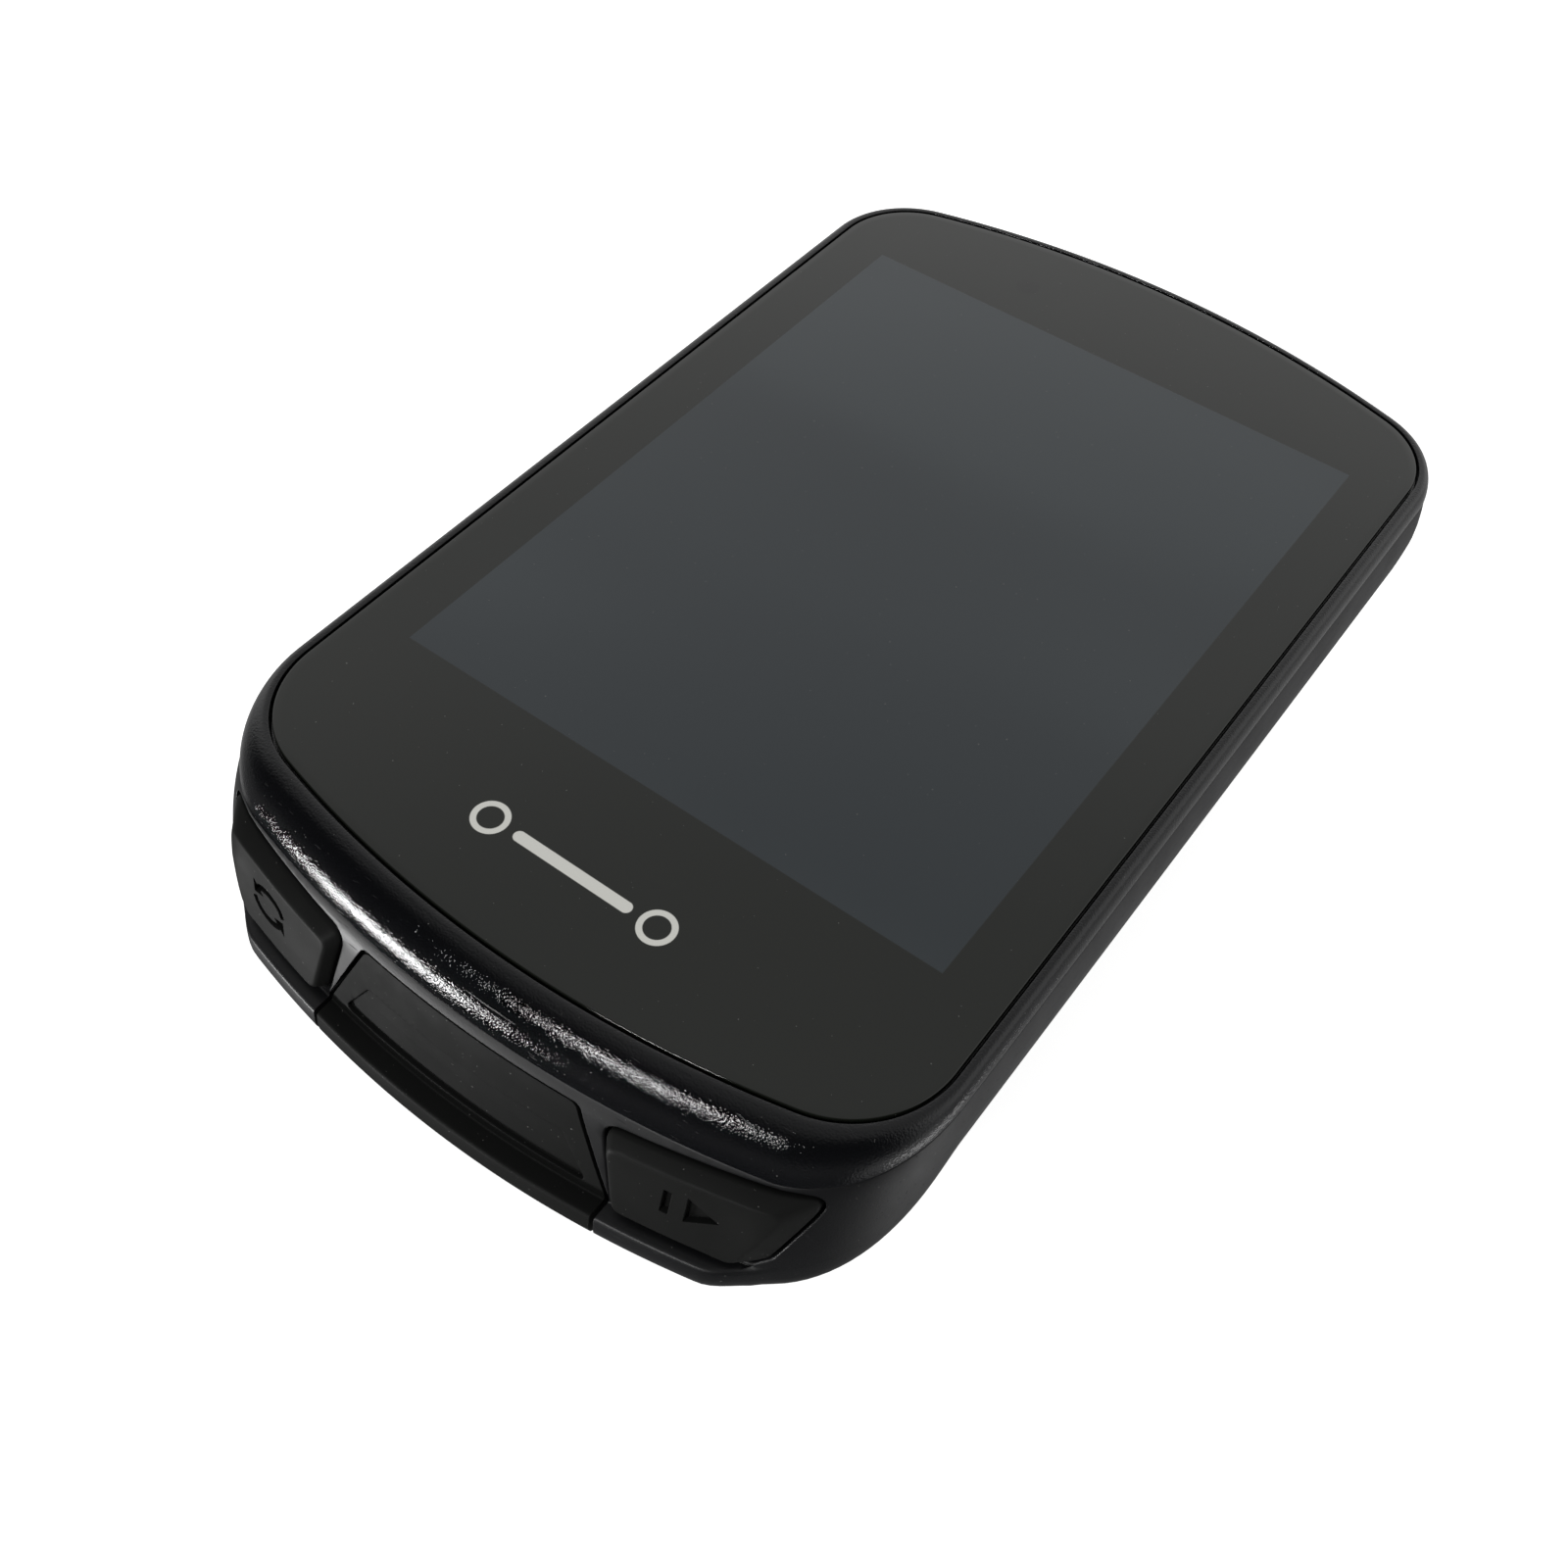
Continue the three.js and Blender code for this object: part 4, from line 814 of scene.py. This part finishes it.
def glass_print():
    """Cover glass over a dark border, a clear window on the display with soft diagonal bands of painted
    reflection, and a small generic mark.
    """
    border, pale = (0.0080, 0.0094, 0.0070), (0.76, 0.76, 0.71)
    look = Material("glass_print", border, 0.06, IOR=1.5)
    x, y, _ = look.node("SeparateXYZ", {"Vector": look.place}).outputs
    pane = window(look, x, y)
    # Soft stretched diagonal bands vary the window's display tone between a darker and a lighter blue-grey:
    # painted reflection, not the display's own colour.
    painted_reflection_bands = look.spread(look.noise(0.06, 0.5, (0.25, 1, 1), -0.5), 0.35, 0.65)
    shade = look.mix(painted_reflection_bands, (0.0245, 0.0315, 0.0365), (0.034, 0.043, 0.0485))
    spot = (SENSOR_LOW + SENSOR_HIGH) / 2
    reach = look.distance(look.math("SUBTRACT", x, spot[0]), look.math("SUBTRACT", y, spot[1]))
    sensor = look.spread(reach, *SENSOR_DOT, 1.0, 0.0)
    ground = look.mix(pane, border, shade)
    ground = look.mix(look.math("MULTIPLY", sensor, 0.6), ground, (0.002, 0.002, 0.002))
    dust = look.math("MULTIPLY", look.specks(4.5, 0.785), 0.5)
    ground = look.mix(dust, ground, (0.2, 0.2, 0.19))
    look.link(look.mix(mark(look, x, y), ground, pale), "Base Color")
    look.link(look.spread(look.noise(0.12, 4.0, turn=0.7), 0.3, 0.75, 0.045, 0.12), "Roughness")
    return look.made


def window(look, x, y):
    """A mask of the clear window, a rectangle over the middle of the display."""
    middle_y = (PANEL_LOW[1] + PANEL_HIGH[1]) / 2 + WINDOW["shift_y"]
    aside = look.math("ABSOLUTE", x)
    along = look.math("ABSOLUTE", look.math("SUBTRACT", y, middle_y))
    past_side = look.math("SUBTRACT", aside, WINDOW["half_width"])
    past_end = look.math("SUBTRACT", along, WINDOW["half_length"])
    return look.spread(look.math("MAXIMUM", past_side, past_end), -0.05, 0.05, 1.0, 0.0)


def mark(look, x, y):
    """A mask of two rings joined by a bar."""
    dx = look.math("SUBTRACT", x, MARK["x"])
    dy = look.math("SUBTRACT", y, MARK["y"])
    aside = look.math("SUBTRACT", look.math("ABSOLUTE", dx), MARK["ring_x"])
    off_ring = look.math("ABSOLUTE", look.math("SUBTRACT", look.distance(aside, dy), MARK["ring_radius"]))
    rings = look.spread(off_ring, 0.16, 0.22, 1.0, 0.0)
    past = look.math("MAXIMUM", look.math("SUBTRACT", look.math("ABSOLUTE", dx), MARK["bar_half"]), 0.0)
    bar = look.spread(look.distance(past, dy), 0.36, 0.42, 1.0, 0.0)
    return look.math("MAXIMUM", rings, bar)


def moulded(name, colour, roughness, grain=0.004):
    """A matt moulded plastic with a fine spark-eroded grain and faint flow marks."""
    look = Material(name, colour, roughness)
    flow = look.noise(0.3, 3.0, (0.3, 1.6, 1), 0.4)
    lighter = tuple(min(1.0, c * 1.5 + 0.004) for c in colour)
    look.link(look.mix(look.spread(flow, 0.35, 0.7), colour, lighter), "Base Color")
    look.link(look.spread(flow, 0.3, 0.7, roughness - 0.08, roughness + 0.08), "Roughness")
    look.link(look.bump(look.noise(7.0, 4.0), grain), "Normal")
    return look.made


def metal(name, colour, roughness, stretch):
    """Sheet or turned metal with fine lines in one direction and a few stains."""
    look = Material(name, colour, roughness, Metallic=1.0)
    lines = look.noise(5.0, 2.0, stretch)
    stain = look.spread(look.noise(0.6, 4.0), 0.45, 0.75)
    darker = tuple(c * 0.6 for c in colour)
    look.link(look.mix(stain, colour, darker), "Base Color")
    look.link(look.spread(lines, 0.3, 0.7, roughness - 0.08, roughness + 0.12), "Roughness")
    look.link(look.bump(lines, 0.003), "Normal")
    return look.made


def circuit_board():
    """Green solder resist with a faint grid of lighter lines."""
    green, lighter, lines = (0.012, 0.09, 0.035), (0.014, 0.11, 0.04), (0.03, 0.2, 0.08)
    look = Material("circuit_board", green, 0.35)
    inputs = {"Vector": look.place, "Scale": 0.35, "Mortar Size": 0.02}
    inputs |= {"Color1": (*green, 1), "Color2": (*lighter, 1), "Mortar": (*lines, 1)}
    tracks = look.node("TexBrick", inputs)
    look.link(tracks.outputs[0], "Base Color")
    look.link(look.bump(tracks.outputs[1], 0.03), "Normal")
    return look.made


def paint(objects, material):
    for piece in objects:
        piece.data.materials.clear()
        piece.data.materials.append(material)


# ---------------------------------------------------------------- building the pieces
def stand_for(piece, node, body, material):
    """Puts a piece in the place of a CAD node."""
    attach(piece, body)
    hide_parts(node)
    paint([piece], material)


HOUSING_GLOSS = gloss_shell("gloss_shell", 0.035, 0.024)
COVER_SATIN = gloss_shell("satin_shell", 0.44, 0.006)
KEY_RUBBER = satin_rubber("key_rubber", (0.0085, 0.0088, 0.0084), 0.5, 0.004)
FLAP_RUBBER = satin_rubber("flap_rubber", (0.0060, 0.0063, 0.0059), 0.58, 0.004)
MOUNT_PLASTIC = moulded("mount_plastic", (0.016, 0.016, 0.017), 0.48)
BLACK_STEEL = metal("screw_steel", (0.12, 0.12, 0.125), 0.32, (1, 1, 0.1))

stand_for(cover_glass(), "cover_glass", "computer_body", glass_print())
stand_for(front_housing(), "front_housing", "computer_body", HOUSING_GLOSS)
stand_for(rear_cover(), "rear_cover", "computer_body", COVER_SATIN)
stand_for(usb_flap(), "usb_flap", "usb_flap", FLAP_RUBBER)
for key, side, signs in (("lap_button", -1, lap_signs()), ("start_stop_button", 1, start_stop_signs())):
    stand_for(end_key(f"{key}_skin", side, signs), key, key, KEY_RUBBER)
stand_for(power_key(), "power_button", "power_button", KEY_RUBBER)
stand_for(mount_insert(), "mount_insert", "computer_body", MOUNT_PLASTIC)
for kind in ("mount_screw", "case_screw"):
    for k in range(1, 5):
        stand_for(screw(f"{kind}_{k}"), f"{kind}_{k}", "computer_body", BLACK_STEEL)

# The pieces inside keep their CAD shape.
METAL_PARTS = ["shield_can", "usb_receptacle", "pressure_sensor"]
SWITCHES = ["lap_switch", "start_stop_switch", "power_switch"]
INNER_LOOKS = [
    (moulded("adhesive_tape", (0.008, 0.008, 0.008), 0.75, 0.01), ["glass_adhesive"]),
    (satin_rubber("seal_rubber", (0.012, 0.012, 0.012), 0.5, 0.006), ["case_seal"]),
    (moulded("black_plastic", (0.014, 0.014, 0.014), 0.5), ["light_sensor", "display_frame", "beeper"]),
    (moulded("display_stack", (0.05, 0.06, 0.07), 0.2, 0.0005), ["display_panel"]),
    (moulded("light_guide", (0.75, 0.75, 0.72), 0.3, 0.002), ["backlight"]),
    (moulded("flex_film", (0.4, 0.17, 0.04), 0.4, 0.001), ["display_flex"]),
    (circuit_board(), ["main_board"]),
    (metal("bright_metal", (0.66, 0.66, 0.63), 0.3, (0.08, 1, 1)), METAL_PARTS),
    (moulded("fired_ceramic", (0.55, 0.5, 0.4), 0.6), ["gps_antenna"]),
    (moulded("switch_body", (0.04, 0.04, 0.04), 0.5), SWITCHES),
    (metal("battery_wrap", (0.5, 0.52, 0.54), 0.4, (1, 0.3, 1)), ["battery"]),
]
for material, names in INNER_LOOKS:
    paint([NODES[name] for name in names], material)


# ---------------------------------------------------------------- the studio
def camera():
    """A view of the rider's end from its right, a hand's breadth off and slightly rolled."""
    place, aim = Vector((0.04044, -0.06974, 0.10107)), Vector((0.00556, -0.0157, 0.020))
    roll = math.radians(4.485)
    lens = bpy.data.cameras.new("camera")
    lens.lens = 40.6
    lens.sensor_width = 36
    lens.shift_x = -0.0041
    lens.shift_y = 0.0005
    lens.clip_start = 0.005
    made = bpy.data.objects.new("camera", lens)
    turn = (aim - place).to_track_quat("-Z", "Y").to_matrix().to_4x4()
    made.matrix_world = Matrix.Translation(place) @ turn @ Matrix.Rotation(roll, 4, "Z")
    bpy.context.scene.collection.objects.link(made)
    bpy.context.scene.camera = made


def soft_light(name, turn, rise, size, tilt, radiance):
    """A rectangular lamp a metre from the rider's end, seen from there at a turn and a rise in degrees.

    A lamp with a negative rise stands lower than the floor, which lets its light through.
    """
    aim = Vector((0, -0.037, 0.018))
    around, up = math.radians(turn), math.radians(rise)
    toward = Vector((math.sin(around) * math.cos(up), -math.cos(around) * math.cos(up), math.sin(up)))
    lamp = bpy.data.lights.new(name, "AREA")
    lamp.shape = "RECTANGLE"
    lamp.size, lamp.size_y = size
    lamp.energy = radiance * math.pi * size[0] * size[1]
    made = bpy.data.objects.new(name, lamp)
    facing = (-toward).to_track_quat("-Z", "Y").to_matrix().to_4x4()
    tilted = Matrix.Rotation(math.radians(tilt), 4, "Z")
    made.matrix_world = Matrix.Translation(aim + toward) @ facing @ tilted
    bpy.context.scene.collection.objects.link(made)


def floor():
    """A wide pale disc that glows a little. It isn't mirrored, so the shell mirrors a dark room."""
    mesh = bpy.data.meshes.new("floor")
    build = bmesh.new()
    bmesh.ops.create_circle(build, cap_ends=True, segments=96, radius=3.0)
    build.to_mesh(mesh)
    build.free()
    made = bpy.data.objects.new("floor", mesh)
    made.location.z = -0.0002
    bpy.context.scene.collection.objects.link(made)
    look = Material("pale_floor", (0.86, 0.86, 0.85), 0.7)
    look.shader.inputs["Emission Color"].default_value = (1, 1, 1, 1)
    look.shader.inputs["Emission Strength"].default_value = 0.8
    made.visible_glossy = False
    made.visible_shadow = False  # the lamps below it shine through
    paint([made], look.made)


def ramp(tree, value, stops):
    """Turns a value into a grey, by stops of value and shade."""
    made = tree.nodes.new("ShaderNodeValToRGB")
    made.color_ramp.interpolation = "EASE"
    tree.links.new(value, made.inputs[0])
    elements = made.color_ramp.elements
    for element, (position, shade) in zip([elements[0], elements[1]], (stops[0], stops[-1])):
        element.position = position
        element.color = (shade, shade, shade, 1)
    for position, shade in stops[1:-1]:
        elements.new(position).color = (shade, shade, shade, 1)
    return made.outputs[0]


def halved(tree, value):
    """A part of a direction, which runs from -1 to 1, made to run from 0 to 1."""
    made = tree.nodes.new("ShaderNodeMath")
    made.operation = "MULTIPLY_ADD"
    tree.links.new(value, made.inputs[0])
    made.inputs[1].default_value = 0.5
    made.inputs[2].default_value = 0.5
    return made.outputs[0]


# Brightness of the room by height, from straight down at 0 to straight up at 1.
SKY = {
    "far_side": [(0.0, 0.26), (0.42, 0.42), (0.5, 0.9), (0.75, 1.05), (0.85, 0.75), (0.92, 0.53), (1.0, 0.5)],
    "rider_side": [
        (0.0, 0.35), (0.08, 0.06), (0.2, 0.06), (0.3, 0.15), (0.42, 0.17), (0.5, 0.07), (0.65, 0.04),
        (0.85, 0.04), (1.0, 0.3),
    ],
    "from_rider_to_far": [(0.32, 0.0), (0.58, 1.0)],
}


def sky():
    """A soft room: bright above the horizon on the far side, and dark on the rider's side."""
    world = bpy.data.worlds.new("room")
    bpy.context.scene.world = world
    world.use_nodes = True
    tree = world.node_tree
    ground = tree.nodes["Background"]
    direction = tree.nodes.new("ShaderNodeTexCoord").outputs["Generated"]
    split = tree.nodes.new("ShaderNodeSeparateXYZ")
    tree.links.new(direction, split.inputs[0])
    height, depth = (halved(tree, split.outputs[axis]) for axis in "ZY")
    far_side = ramp(tree, height, SKY["far_side"])
    rider_side = ramp(tree, height, SKY["rider_side"])
    side = ramp(tree, depth, SKY["from_rider_to_far"])
    blend = tree.nodes.new("ShaderNodeMix")
    blend.data_type = "RGBA"
    for source, socket in ((side, 0), (rider_side, 6), (far_side, 7)):
        tree.links.new(source, blend.inputs[socket])
    tree.links.new(blend.outputs[2], ground.inputs["Color"])


camera()
floor()
sky()
soft_light("low_window", -37, -22, (0.32, 0.05), 0, 120)
soft_light("high_window", -9, 29, (0.26, 0.05), -28, 110)
soft_light("side_glow", 82, -30, (0.7, 0.5), 0, 0.5)
soft_light("side_window", 102, -40, (0.6, 0.035), 0, 9)
bpy.context.scene.view_settings.view_transform = "Standard"
